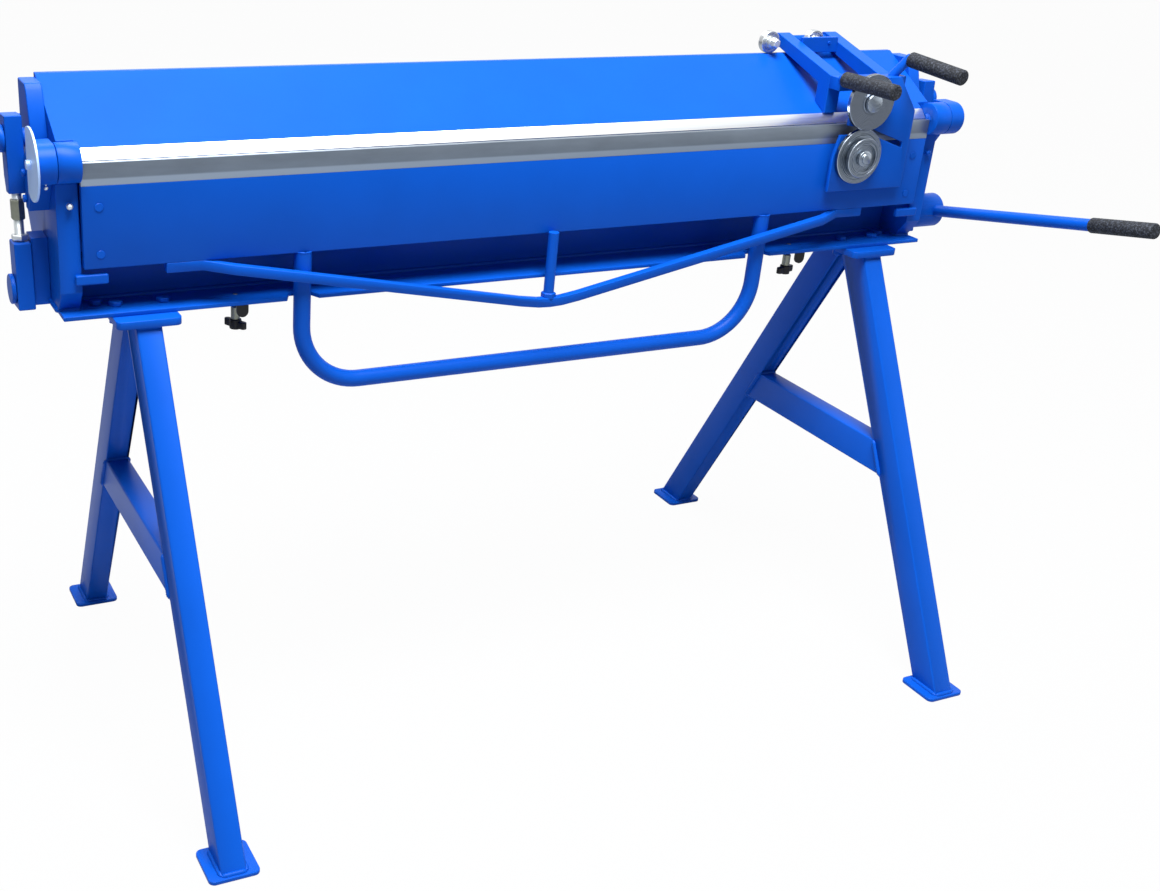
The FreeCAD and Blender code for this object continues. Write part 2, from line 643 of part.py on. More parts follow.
def make_folding_beam():
    return_y = BEAM_FACE_Y + RETURN_DEPTH
    profile = [(BEAM_FACE_Y, BEAM_BOTTOM), (return_y, BEAM_BOTTOM), (return_y, BEAM_BOTTOM + RETURN_THICK),
               (BEAM_BACK_Y, BEAM_BOTTOM + RETURN_THICK),
               (BEAM_BACK_Y, BLADE_BOTTOM), (BEAM_FACE_Y, BLADE_BOTTOM)]
    node("folding_beam_plate", yz_prism(profile, -HALF, HALF))
    node("folding_blade", box(-HALF, HALF, BEAM_FACE_Y, BEAM_FACE_Y + BLADE_THICK, BLADE_BOTTOM, BED_Z))
    knuckle = cyl_x(KNUCKLE_R, FOLD_Y, BED_Z, HALF, KNUCKLE_OUT)
    knuckle = knuckle.cut(cyl_x(HINGE_PIN_R, FOLD_Y, BED_Z, HALF, KNUCKLE_OUT))
    node("folding_knuckles", *both_sides(knuckle))
    pin = cyl_x(HINGE_PIN_R, FOLD_Y, BED_Z, HALF, BRACKET_OUT)
    node("hinge_pins", *both_sides(pin))
    x = HALF - BEAM_SCREW_INSET
    screws = [cyl_y(BEAM_SCREW_R, x, BED_Z - drop, BEAM_FACE_Y - BEAM_SCREW_HIGH, BEAM_FACE_Y)
              for drop in BEAM_SCREW_DROPS]
    node("beam_screws", *[s for screw in screws for s in both_sides(screw)])
    bar = tie_bar()
    node("tie_bar", bar)
    strut_y = BEAM_FACE_Y - STRUT_R
    foot = TIE_MIDDLE_Z + TIE_HIGH
    strut = cyl_z(STRUT_R, 0, strut_y, foot - TIE_HIGH, BEAM_BOTTOM + TIE_LAP).cut(bar)
    strut = max(strut.Solids, key=lambda s: s.Volume)
    nut = hex_z(STRUT_NUT_FLATS, 0, strut_y, foot + STRUT_NUT_RISE, foot + STRUT_NUT_RISE + STRUT_NUT_HIGH)
    node("centre_strut", strut, nut.cut(strut))
    node("pull_handle", handle_path(HANDLE_TUBE_R).cut(handle_path(HANDLE_TUBE_R - HANDLE_WALL)))
    disc_in = BRACKET_OUT + DISC_GAP
    disc_out = disc_in + DISC_THICK
    disc = cyl_x(DISC_R, FOLD_Y, BED_Z, disc_in, disc_out)
    screw = fuse(cyl_x(DISC_SCREW_R, FOLD_Y, BED_Z, disc_out, disc_out + DISC_SCREW_HIGH),
                 cyl_x(DISC_SCREW_R / 2, FOLD_Y, BED_Z, BRACKET_OUT, disc_out))
    node("protractor", flip_x(disc.cut(screw)), flip_x(screw))


# Upper beam with its clamping nose
def slope_z(y, drop):
    return NOSE_TOP_Z + (y - NOSE_TOP_Y) * SLOPE - drop / math.cos(math.radians(SLOPE_ANGLE))


def make_upper_beam():
    t = UPPER_PLATE_THICK
    angle = math.radians(SLOPE_ANGLE)
    foot_y, foot_z = NOSE_TOP_Y + t * math.sin(angle), NOSE_TOP_Z - t * math.cos(angle)
    plate = yz_prism([(NOSE_TOP_Y, NOSE_TOP_Z), (SLOPE_BACK_Y, SLOPE_BACK_Z),
                      (SLOPE_BACK_Y, slope_z(SLOPE_BACK_Y, t)), (foot_y, foot_z)], -NOSE_END, NOSE_END)
    node("upper_beam_top_plate", plate)
    back_y = SLOPE_BACK_Y + t
    node("upper_beam_back_plate", box(-NOSE_END, NOSE_END, SLOPE_BACK_Y, back_y, CLAMP_Z, RAIL_Z))
    node("upper_beam_bottom_plate", box(-NOSE_END, NOSE_END, NOSE_BACK_Y, SLOPE_BACK_Y, CLAMP_Z, CLAMP_Z + t))
    front = FOLD_Y + KNUCKLE_R + KNUCKLE_CLEARANCE
    block = yz_prism([(front, CLAMP_Z), (front, slope_z(front, 0)), (SLOPE_BACK_Y, SLOPE_BACK_Z),
                      (back_y, RAIL_Z), (back_y, CLAMP_Z)], NOSE_END, UPPER_END)
    node("upper_beam_end_blocks", *both_sides(block))
    nose = [(NOSE_TIP_Y, CLAMP_Z), (NOSE_TOP_Y, NOSE_TOP_Z), (foot_y, foot_z),
            (NOSE_BACK_Y, slope_z(NOSE_BACK_Y, t)), (NOSE_BACK_Y, CLAMP_Z)]
    node("clamp_nose", yz_prism(nose, -NOSE_END, NOSE_END))


# Cheeks, rear pivot and link pins
def cheek():
    low = BED_Z + CHEEK_RISE_OVER_BED
    profile = [(CHEEK_FRONT_Y, low), (CHEEK_FRONT_Y, CHEEK_TOP_Z - CHEEK_CORNER),
               (CHEEK_FRONT_Y + CHEEK_CORNER, CHEEK_TOP_Z), (CHEEK_BACK_Y, CHEEK_TOP_Z),
               (PIVOT_Y + CHEEK_END_R * 0.5, PIVOT_Z + CHEEK_END_R * 0.86), (PIVOT_Y, PIVOT_Z - CHEEK_END_R)]
    body = yz_prism(profile, UPPER_END, CHEEK_OUT)
    body = fuse(body, cyl_x(CHEEK_END_R, PIVOT_Y, PIVOT_Z, UPPER_END, CHEEK_OUT))
    body = body.cut(cyl_x(PIVOT_PIN_R + RUNNING_FIT, PIVOT_Y, PIVOT_Z, UPPER_END, CHEEK_OUT))
    return body.cut(cyl_x(LINK_PIN_R, LINK_PIN_Y, LINK_PIN_Z, UPPER_END, CHEEK_OUT))


def link_pin():
    collar = cyl_x(LINK_PIN_HEAD_R * 0.7, LINK_PIN_Y, LINK_PIN_Z, CHEEK_OUT, LINK_IN - LINK_FACE_GAP)
    pin = cyl_x(LINK_PIN_R, LINK_PIN_Y, LINK_PIN_Z, UPPER_END, LINK_OUT + LINK_FACE_GAP)
    head_x = LINK_OUT + LINK_FACE_GAP
    head = cyl_x(LINK_PIN_HEAD_R, LINK_PIN_Y, LINK_PIN_Z, head_x, head_x + LINK_PIN_HEAD_LONG)
    return fuse(collar, pin, head)


def make_cheeks():
    node("cheeks", *both_sides(cheek()))
    node("link_pins", *both_sides(link_pin()))
    head = cyl_x(PIVOT_PIN_R + 5, PIVOT_Y, PIVOT_Z, CHEEK_OUT + 1, CHEEK_OUT + 7)
    pin = fuse(cyl_x(PIVOT_PIN_R, PIVOT_Y, PIVOT_Z, END_IN, CHEEK_OUT + 1), head)
    node("rear_pivot_pins", *both_sides(pin))


# Clamping links, built hanging straight down from the pin and then leaned onto the strap
def lean(shape):
    placed = shape.copy()
    placed.rotate(V(0, 0, 0), V(1, 0, 0), -LINK_LEAN)
    placed.translate(V(0, LINK_PIN_Y, LINK_PIN_Z))
    return placed


def upper_link():
    deep, low = UPPER_LINK_DEPTH / 2, -UPPER_LINK_LONG
    side = yz_prism([(-deep, 0), (deep, 0), (deep, low + UPPER_LINK_TAPER), (UPPER_LINK_TIP / 2, low),
                     (-UPPER_LINK_TIP / 2, low), (-deep, low + UPPER_LINK_TAPER)], LINK_IN, LINK_OUT)
    block = fuse(side, cyl_x(deep, 0, 0, LINK_IN, LINK_OUT))
    block = block.cut(cyl_x(LINK_PIN_R + RUNNING_FIT, 0, 0, LINK_IN, LINK_OUT))
    stud = cyl_z(LINK_NECK_R, LINK_X, 0, -TURNBUCKLE_START - TURNBUCKLE_LONG / 3, low)
    return fuse(block, stud)


def lower_link():
    top = -LINK_LONG + LOWER_LINK_HEAD
    strap_r = STRAP_R + STRAP_WALL
    deep = LOWER_LINK_DEPTH / 2
    bar = yz_prism([(-deep, -LINK_LONG), (deep, -LINK_LONG), (deep, top), (-deep, top)], LINK_IN, LINK_OUT)
    body = fuse(cyl_x(strap_r, 0, -LINK_LONG, LINK_IN, LINK_OUT), bar)
    body = body.cut(cyl_x(STRAP_R, 0, -LINK_LONG, LINK_IN, LINK_OUT))
    stud = cyl_z(LINK_NECK_R, LINK_X, 0, top, -TURNBUCKLE_START - TURNBUCKLE_LONG * 2 / 3)
    return fuse(body, stud)


def turnbuckle():
    top = -TURNBUCKLE_START
    body = hex_z(TURNBUCKLE_FLATS, LINK_X, 0, top - TURNBUCKLE_LONG, top)
    return body.cut(cyl_z(LINK_NECK_R + RUNNING_FIT, LINK_X, 0, top - TURNBUCKLE_LONG, top))


def locknut():
    top = -LINK_LONG + LOWER_LINK_HEAD
    nut = hex_z(LOCKNUT_FLATS, LINK_X, 0, top, top + LOCKNUT_HIGH)
    return nut.cut(cyl_z(LINK_NECK_R, LINK_X, 0, top, top + LOCKNUT_HIGH))


def make_links():
    for name, side in SIDES:
        node("upper_link_%s" % name, on_side(lean(upper_link()), side))
        node("lower_link_%s" % name, on_side(lean(lower_link()), side))
        node("turnbuckle_%s" % name, on_side(lean(turnbuckle()), side))
        node("link_locknut_%s" % name, on_side(lean(locknut()), side))


# Cross shaft, bearing blocks and lever
def lever_part(r, start, end):
    up = math.radians(LEVER_UP_ANGLE)
    way = V(0, -math.cos(up), math.sin(up))
    x = HUB_IN + HUB_LONG * 0.7
    return Part.makeCylinder(r, end - start, V(x, SHAFT_Y, SHAFT_Z) + way * start, way)


def make_shaft_and_lever():
    block_in = END_OUT
    block = box(block_in, block_in + BEARING_BLOCK_THICK, SHAFT_Y - BEARING_BLOCK_DEPTH / 2,
                SHAFT_Y + BEARING_BLOCK_DEPTH / 2, SHAFT_Z - BEARING_BLOCK_DROP, SHAFT_Z + BEARING_BLOCK_RISE)
    bore = cyl_x(SHAFT_R + RUNNING_FIT, SHAFT_Y, SHAFT_Z, block_in, block_in + BEARING_BLOCK_THICK)
    node("bearing_blocks", *both_sides(block.cut(bore)))
    left_end = HUB_IN
    right_end = HUB_OUT - 8
    eccentric = cyl_x(ECCENTRIC_R, ECC_Y, ECC_Z, LINK_IN + LINK_FACE_GAP, LINK_OUT)
    shaft = fuse(cyl_x(SHAFT_R, SHAFT_Y, SHAFT_Z, -left_end, right_end), eccentric, flip_x(eccentric))
    node("cross_shaft", shaft)
    washer = cyl_x(SHAFT_WASHER_R, SHAFT_Y, SHAFT_Z, LINK_OUT + LINK_FACE_GAP, HUB_IN)
    node("shaft_washers", *[w.cut(shaft) for w in both_sides(washer)])
    hub = cyl_x(HUB_R, SHAFT_Y, SHAFT_Z, HUB_IN, HUB_OUT)
    rod = lever_part(ROD_R, SHAFT_R + 4, LEVER_LONG - LEVER_GRIP_CAP)
    node("lever_hub", hub.cut([shaft, rod]))
    node("lever_rod", rod)
    node("lever_grip", lever_part(LEVER_GRIP_R, LEVER_LONG - LEVER_GRIP_LONG, LEVER_LONG).cut(rod))


# Hand screws under the flange
def wing_knob(x, y, top, turn):
    low = top - HAND_KNOB_HIGH / 2 - HAND_WING_HIGH / 2
    high = low + HAND_WING_HIGH
    half, reach = HAND_WING_WIDE / 2, HAND_WING_LONG / 2 - HAND_WING_WIDE / 2
    wings = fuse(box(x - reach, x + reach, y - half, y + half, low, high),
                 cyl_z(half, x - reach, y, low, high), cyl_z(half, x + reach, y, low, high))
    wings.rotate(V(x, y, 0), V(0, 0, 1), turn)
    return fuse(cyl_z(HAND_KNOB_R, x, y, top - HAND_KNOB_HIGH, top), wings)


def make_hand_screws():
    x, y = HAND_SCREW_X, HAND_SCREW_Y
    knob_top = TOP_PLATE_Z - HAND_KNOB_TOP_DROP
    stud = cyl_z(HAND_STUD_R, x, y, knob_top - HAND_KNOB_HIGH / 2, FLANGE_TOP + HAND_STUD_ABOVE)
    neck = cyl_z(HAND_NECK_R, x, y, knob_top, TOP_PLATE_Z - HAND_NECK_TOP_DROP)
    screw = fuse(stud, neck)
    for name, side in SIDES:
        node("hand_screw_%s_stud" % name, on_side(screw, side))
        knob = wing_knob(side * x, y, knob_top, HAND_WING_TURN[name])
        node("hand_screw_%s_knob" % name, knob.cut(on_side(screw, side)))


# Shear carriage: truck on the rail, frame, plate, cutters and grips
def member(x):
    back_z, back_y = WHEEL_Z, TRUCK_Y
    front_y, front_top = LEG_FRONT_Y, MEMBER_FRONT_Z
    rear_top = back_z + MEMBER_END_R
    inner_y = front_y + LEG_THICK
    foot = lambda y: slope_z(y, 0) + LEG_FOOT_GAP
    profile = [(front_y, foot(NOSE_TOP_Y)), (NOSE_TOP_Y, foot(NOSE_TOP_Y)), (inner_y, foot(inner_y)),
               (inner_y, front_top - MEMBER_DEEP), (back_y - MEMBER_END_R, back_z - MEMBER_END_R * 0.7),
               (back_y, back_z - MEMBER_END_R), (back_y, rear_top), (front_y, front_top)]
    body = fuse(yz_prism(profile, x, x + MEMBER_WIDE),
                cyl_x(MEMBER_END_R, back_y, back_z, x, x + MEMBER_WIDE))
    return body.cut(cyl_x(TRUCK_R + MEMBER_FIT, back_y, back_z, x, x + MEMBER_WIDE))


def truck():
    right = MEMBER_XS[1] + MEMBER_WIDE + 4
    bar = cyl_x(TRUCK_R, TRUCK_Y, WHEEL_Z, CUTTER_X - TRUCK_REACH, right)
    front = RAIL_Y - WHEEL_WIDE / 2 - WHEEL_SIDE_GAP
    stubs = []
    for x, neck in zip(WHEEL_XS, AXLE_NECKS):
        head = front - AXLE_COLLAR_HIGH - neck
        stubs.append(cyl_y(AXLE_R, x, WHEEL_Z, head, TRUCK_Y))
        stubs.append(cyl_y(AXLE_COLLAR_R, x, WHEEL_Z, front - AXLE_COLLAR_HIGH, front))
        stubs.append(cyl_y(AXLE_HEAD_R, x, WHEEL_Z, head - AXLE_HEAD_HIGH, head))
    return fuse(bar, *stubs)


def rear_plate():
    x0, x1 = MEMBER_XS[0] + MEMBER_WIDE, MEMBER_XS[1]
    y0 = RAIL_Y - REAR_PLATE_AHEAD - REAR_PLATE_THICK
    y1, low = y0 + REAR_PLATE_THICK, WHEEL_Z - REAR_PLATE_LOW
    plate = box(x0, x1, y0, y1, low, WHEEL_Z + REAR_PLATE_RISE)
    slot_r, x = AXLE_R + REAR_PLATE_SLOT_PLAY, WHEEL_XS[1]
    return plate.cut([box(x - slot_r, x + slot_r, y0, y1, low, WHEEL_Z), cyl_y(slot_r, x, WHEEL_Z, y0, y1)])


def wheel(x):
    y0, y1 = RAIL_Y - WHEEL_WIDE / 2, RAIL_Y + WHEEL_WIDE / 2
    return cyl_y(WHEEL_R, x, WHEEL_Z, y0, y1).cut(cyl_y(AXLE_R + RUNNING_FIT, x, WHEEL_Z, y0, y1))


def shear_plate():
    left, right = CUTTER_X - SHEAR_LEFT, CUTTER_X + SHEAR_RIGHT
    low, top = BED_Z - SHEAR_BOTTOM_DROP, MEMBER_FRONT_Z
    half = THROAT_HIGH / 2
    bend, inner, end_z = CUTTER_X + THROAT_BEND, right - SHEAR_WEB, THROAT_Z - THROAT_FALL
    upper_left = CUTTER_X - SHEAR_UPPER_LEFT
    profile = [(left, low), (right, low), (right, BED_Z + SHEAR_SHOULDER_RISE),
               (CUTTER_X + SHEAR_TOP_RIGHT, top), (upper_left, top),
               (upper_left, THROAT_Z + half + THROAT_MOUTH), (bend, THROAT_Z + half),
               (inner, end_z + half), (inner, end_z - half), (bend, THROAT_Z - half),
               (left + SHEAR_CHAMFER_X, THROAT_Z - half), (left, THROAT_Z - half - SHEAR_CHAMFER_Z)]
    return xz_prism(profile, PLATE_FRONT_Y, CROSS_FRONT_Y)


def cutter_spindle(z, front, head_r, tip_high):
    shank = cyl_y(SPINDLE_R, CUTTER_X, z, front - SPINDLE_HEAD_HIGH - tip_high, PLATE_FRONT_Y)
    head = cyl_y(head_r, CUTTER_X, z, front - SPINDLE_HEAD_HIGH, front)
    return fuse(shank, head)


def cutters():
    upper_back = CUT_Y - CUTTER_FACE_GAP
    upper_front = upper_back - CUTTER_THICK
    upper = cyl_y(CUTTER_R, CUTTER_X, UPPER_CUTTER_Z, upper_front, upper_back)
    upper = upper.cut(cyl_y(SPINDLE_R + RUNNING_FIT, CUTTER_X, UPPER_CUTTER_Z, upper_front, upper_back))
    hub_front = CUT_Y - LOWER_HUB_HIGH
    recess = hub_front + LOWER_HUB_RECESS
    lower = fuse(cyl_y(CUTTER_R, CUTTER_X, LOWER_CUTTER_Z, CUT_Y, LOWER_CUTTER_Y),
                 cyl_y(LOWER_HUB_R, CUTTER_X, LOWER_CUTTER_Z, hub_front, CUT_Y))
    lower = lower.cut([cyl_y(SPINDLE_R + RUNNING_FIT, CUTTER_X, LOWER_CUTTER_Z, hub_front, LOWER_CUTTER_Y),
                       cyl_y(LOWER_HUB_RECESS_R, CUTTER_X, LOWER_CUTTER_Z, hub_front, recess)])
    return upper, lower, upper_front - WHEEL_SIDE_GAP, recess - WHEEL_SIDE_GAP


def rod_between(a, b, r):
    return Part.makeCylinder(r, (b - a).Length, a, b - a)


def grip_and_rod(root, way):
    rod = rod_between(root - way, root + way * GRIP_LONG, GRIP_ROD_R)
    start = root + way * (GRIP_START_GAP + 1)
    grip = rod_between(start, start + way * GRIP_LONG, GRIP_R).cut(rod)
    return rod, grip


def make_carriage():
    node("truck_bar", truck())
    for name, x in zip(("left", "right"), WHEEL_XS):
        node("truck_wheel_%s" % name, wheel(x))
    members = [member(x) for x in MEMBER_XS]
    node("carriage_members", *members)
    cross_low = MEMBER_FRONT_Z - CROSS_HIGH
    node("carriage_crossbar", box(MEMBER_XS[0], CUTTER_X + CROSS_REACH, CROSS_FRONT_Y, LEG_FRONT_Y,
                                  cross_low, MEMBER_FRONT_Z))
    node("carriage_rear_plate", rear_plate())
    node("shear_plate", shear_plate())
    upper, lower, upper_front, lower_front = cutters()
    node("upper_cutter", upper)
    node("lower_cutter", lower)
    node("cutter_spindles", cutter_spindle(UPPER_CUTTER_Z, upper_front, UPPER_SPINDLE_HEAD_R, 0),
         cutter_spindle(LOWER_CUTTER_Z, lower_front, LOWER_SPINDLE_HEAD_R, SPINDLE_TIP_HIGH))
    droop = math.radians(GRIP_DROOP)
    way = V(0, -math.cos(droop), -math.sin(droop))
    left_root = V(CUTTER_X + LEFT_GRIP, CROSS_FRONT_Y, MEMBER_FRONT_Z - LEFT_GRIP_DROP)
    elbow = V(CUTTER_X + RIGHT_GRIP, CROSS_FRONT_Y, MEMBER_FRONT_Z + RIGHT_GRIP_RISE)
    root = V(CUTTER_X + RIGHT_ROD_ROOT, (CROSS_FRONT_Y + LEG_FRONT_Y) / 2, MEMBER_FRONT_Z)
    crossbar = NODES["carriage_crossbar"]
    left_rod, left_grip = grip_and_rod(left_root, way)
    right_rod, right_grip = grip_and_rod(elbow, way)
    below = root + (root - elbow).normalize() * GRIP_ROD_R
    right_rod = fuse(rod_between(below, elbow, GRIP_ROD_R), Part.makeSphere(GRIP_ROD_R, elbow), right_rod)
    node("grip_rods", left_rod.cut(crossbar), right_rod.cut(crossbar))
    node("carriage_grips", left_grip, right_grip)


# The row's origin is the middle of the whole machine's box, on the floor
def row_offset():
    whole = Part.makeCompound(list(NODES.values())).BoundBox
    return V(-(whole.XMin + whole.XMax) / 2, -(whole.YMin + whole.YMax) / 2, 0)


def main():
    make_trestles()
    make_base()
    make_hinge_brackets()
    make_folding_beam()
    make_upper_beam()
    make_cheeks()
    make_links()
    make_shaft_and_lever()
    make_hand_screws()
    make_carriage()
    offset = row_offset()
    for name, shape in NODES.items():
        shape.translate(offset)
        shape.exportStep("parts/%s.step" % name)
    print("nodes", len(NODES), "offset", offset.x, offset.y)


main()
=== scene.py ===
import json
import math

import bmesh
import bpy
from mathutils import Matrix, Vector

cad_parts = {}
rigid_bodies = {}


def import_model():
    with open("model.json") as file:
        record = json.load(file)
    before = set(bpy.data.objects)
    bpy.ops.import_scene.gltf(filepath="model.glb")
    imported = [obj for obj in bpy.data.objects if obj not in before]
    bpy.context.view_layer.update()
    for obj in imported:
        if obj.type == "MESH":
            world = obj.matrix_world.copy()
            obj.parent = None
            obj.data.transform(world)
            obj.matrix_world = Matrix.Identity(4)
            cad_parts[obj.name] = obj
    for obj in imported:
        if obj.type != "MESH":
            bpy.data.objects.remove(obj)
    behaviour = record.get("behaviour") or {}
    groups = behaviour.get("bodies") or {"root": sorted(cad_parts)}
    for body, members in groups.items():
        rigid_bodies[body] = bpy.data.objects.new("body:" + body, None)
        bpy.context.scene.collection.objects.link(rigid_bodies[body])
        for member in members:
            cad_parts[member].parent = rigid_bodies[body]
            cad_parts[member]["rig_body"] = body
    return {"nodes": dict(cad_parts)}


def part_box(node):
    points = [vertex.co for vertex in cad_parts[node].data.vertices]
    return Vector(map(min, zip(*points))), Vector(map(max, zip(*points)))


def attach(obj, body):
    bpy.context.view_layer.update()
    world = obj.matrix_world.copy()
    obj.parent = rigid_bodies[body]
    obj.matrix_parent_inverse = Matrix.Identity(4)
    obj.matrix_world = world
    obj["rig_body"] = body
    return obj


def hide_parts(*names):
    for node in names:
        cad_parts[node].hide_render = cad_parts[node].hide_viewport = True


bl_info = {
    "name": "Sheet Metal Folder",
    "version": (1, 0, 0),
    "blender": (4, 5, 0),
    "location": "View3D > Sidebar > Sheet Folder",
    "description": "Finishes a trestle-mounted sheet metal folder with a shear carriage",
    "category": "Object",
}

# Everything is in metres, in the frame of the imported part
MM = 0.001
MERGE_GAP = 0.01 * MM
LEVEL_GAP = 0.2 * MM
FLAT_ANGLE = math.radians(0.4)
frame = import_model()
NODES = frame["nodes"]
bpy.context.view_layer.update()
X_AXIS, Y_AXIS, Z_AXIS = Vector((1, 0, 0)), Vector((0, 1, 0)), Vector((0, 0, 1))
FLANGE_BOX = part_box("base_flange")
MIDDLE_X = (FLANGE_BOX[0].x + FLANGE_BOX[1].x) / 2


def linear(code):
    """An sRGB hex colour as the linear values that Blender uses."""
    parts = [int(code[i:i + 2], 16) / 255 for i in (0, 2, 4)]
    return tuple(c / 12.92 if c <= 0.04045 else ((c + 0.055) / 1.055) ** 2.4 for c in parts)


def length(name, description, millimetres):
    """A size that the user can change, given in millimetres."""
    return bpy.props.FloatProperty(name=name, description=description, default=millimetres * MM,
                                   min=0.0, unit="LENGTH", precision=5)


def colour(name, description, code):
    """A colour that the user can change, given as an sRGB hex code."""
    return bpy.props.FloatVectorProperty(name=name, description=description, default=linear(code),
                                         size=3, min=0.0, max=1.0, subtype="COLOR")


class FolderSizes(bpy.types.PropertyGroup):
    """The sizes of the machine's rounded edges, chamfers, welds and threads."""
    plate_edge: length("Plate edge", "Round on the edges of the cut plates", 0.9)
    block_edge: length("Block edge", "Round on the cheeks, the link blocks and the lever's grip", 1.8)
    lug_edge: length("Lug edge", "Round on the front lugs", 2.7)
    tube_edge: length("Tube corner", "Round on the long corners of the leg tubes", 3.0)
    fine_edge: length("Machined edge", "Small round on turned and machined pieces", 0.5)
    spindle_edge: length("Spindle edge", "Round on the heads of the cutter spindles", 1.0)
    weld_leg: length("Weld leg", "Height of the fillet welds on the frame", 4.0)
    handle_weld: length("Handle weld leg", "Height of the small welds on the pull handle", 1.4)
    weld_pitch: length("Weld ripple", "Distance between the ripples of a weld", 3.2)
    nut_chamfer: length("Nut chamfer", "Chamfer on the corners of hexagon heads and nuts", 1.2)
    grip_end: length("Grip end", "Round on the ends of the foam grips", 2.4)
    thread_pitch: length("Thread pitch", "Pitch of the adjusting threads", 1.5)


class FolderColours(bpy.types.PropertyGroup):
    """The colours of the machine's finishes and of the stage."""
    paint: colour("Paint", "Powder coat on the steelwork", "0852BE")
    ground: colour("Ground steel", "Folding blade and cross shaft", "7C8794")
    polished: colour("Polished steel", "Clamping nose", "E3E7EA")
    zinc: colour("Zinc plate", "Turnbuckles and studs", "8F9286")
    bright: colour("Bright zinc", "Threads, locknuts, axles and nipples", "DADFE2")
    chrome: colour("Bright turned steel", "Carriage wheels", "C4C8CC")
    turned: colour("Turned steel", "Lower cutter and spindles", "9AA4B0")
    hardened: colour("Hardened steel", "Upper cutter", "8E97A4")
    # The disc's pale blue is partly its own colour and partly a painted blue reflection
    disc: colour("Disc", "Protractor disc", "B3D0FF")
    plastic: colour("Plastic", "Wing knobs and ears", "0B0C0F")
    foam: colour("Foam", "Foam rubber grips", "22252B")
    floor: colour("Floor", "Floor of the stage", "B4B8BE")


# Geometry helpers
def merged(node):
    """A bmesh of a CAD node with its loose triangles joined and its flat faces whole."""
    bm = bmesh.new()
    bm.from_mesh(NODES[node].data)
    bmesh.ops.remove_doubles(bm, verts=bm.verts, dist=MERGE_GAP)
    bmesh.ops.dissolve_limit(bm, angle_limit=FLAT_ANGLE, verts=bm.verts, edges=bm.edges)
    return bm


def middle_x(points):
    """The mean place along X of a group of points."""
    return sum(p.x for p in points) / len(points)


def islands(node):
    """The corner points of each separate solid of a CAD node, from left to right."""
    bm = merged(node)
    left, found = set(bm.verts), []
    while left:
        group, queue = [], [left.pop()]
        while queue:
            vert = queue.pop()
            group.append(vert.co.copy())
            for edge in vert.link_edges:
                other = edge.other_vert(vert)
                if other in left:
                    left.remove(other)
                    queue.append(other)
        found.append(group)
    bm.free()
    return sorted(found, key=middle_x)


def span(points):
    """Lowest and highest corner of a group of points."""
    low = Vector(min(p[i] for p in points) for i in range(3))
    high = Vector(max(p[i] for p in points) for i in range(3))
    return low, high


def span_centre(node):
    """The middle of a CAD node's box."""
    low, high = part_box(node)
    return (low + high) / 2


def level(points, height):
    """The span of those points that lie at one height."""
    return span([p for p in points if abs(p.z - height) < LEVEL_GAP])


# Two faces that meet at more than this angle, in degrees, have a sharp edge between them
SHARP_ANGLE = 30


def rounded(obj, width, sharp):
    """Rounds an object's sharp edges."""
    bevel = obj.modifiers.new("edge", "BEVEL")
    bevel.width = width
    bevel.segments = 2
    bevel.limit_method = "ANGLE"
    bevel.angle_limit = math.radians(sharp)
    bevel.use_clamp_overlap = False
    bevel.harden_normals = True


def piece(name, bm, finish, body, nodes=(), edge=0.0, sharp=SHARP_ANGLE):
    """Turns a bmesh into a finished object that rides on a body and stands for CAD nodes."""
    for face in bm.faces:
        face.smooth = True
    if not edge:
        for line in bm.edges:
            line.smooth = len(line.link_faces) != 2 or line.calc_face_angle() < math.radians(sharp)
    mesh = bpy.data.meshes.new(name)
    bm.to_mesh(mesh)
    bm.free()
    obj = bpy.data.objects.new(name, mesh)
    bpy.context.scene.collection.objects.link(obj)
    mesh.materials.append(finish)
    if edge:
        rounded(obj, edge, sharp)
    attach(obj, body)
    if nodes:
        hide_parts(*nodes)
    return obj


def dressed(node, finish, edge, sharp=SHARP_ANGLE):
    """A finished copy of a CAD node with the maker's small rounds on its edges."""
    return piece(node + ".finish", merged(node), finish, NODES[node]["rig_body"], [node], edge, sharp)


def to_axis(axis):
    """A turn that takes Z to an axis."""
    return axis.to_track_quat("Z", "Y").to_matrix().to_4x4()


# How many flats make a full turn of each kind of round piece
ROD_STEPS = 48
STRUT_STEPS = 40
THREAD_STEPS = 32
WHEEL_STEPS = 96


def turned(bm, centre, axis, profile, steps):
    """Adds a turned shape: profile holds (radius, distance along the axis), closed round or at the axis."""
    place = Matrix.Translation(centre) @ to_axis(axis)
    verts = [bm.verts.new(place @ Vector((r, 0, h))) for r, h in profile]
    edges = [bm.edges.new(pair) for pair in zip(verts, verts[1:])]
    if profile[0][0] > 0 and profile[-1][0] > 0:
        edges.append(bm.edges.new((verts[-1], verts[0])))
    bmesh.ops.spin(bm, geom=verts + edges, cent=centre, axis=axis, angle=math.tau, steps=steps,
                   use_merge=True)
    bmesh.ops.remove_doubles(bm, verts=bm.verts, dist=MERGE_GAP)
    bmesh.ops.recalc_face_normals(bm, faces=bm.faces)


def hexagon(bm, centre, axis, flats, thick, chamfer):
    """Adds a hexagon head or nut with chamfered corners, from centre along the axis."""
    radius = flats / math.sqrt(3)
    place = Matrix.Translation(centre + axis * thick / 2) @ to_axis(axis)
    made = bmesh.ops.create_cone(bm, cap_ends=True, segments=6, radius1=radius, radius2=radius,
                                 depth=thick, matrix=place)
    ends = [e for v in made["verts"] for e in v.link_edges
            if abs((e.verts[0].co - e.verts[1].co).dot(axis)) < MERGE_GAP]
    bmesh.ops.bevel(bm, geom=list(set(ends)), offset=chamfer, offset_type="OFFSET", segments=1,
                    profile=0.5, affect="EDGES", material=-1)


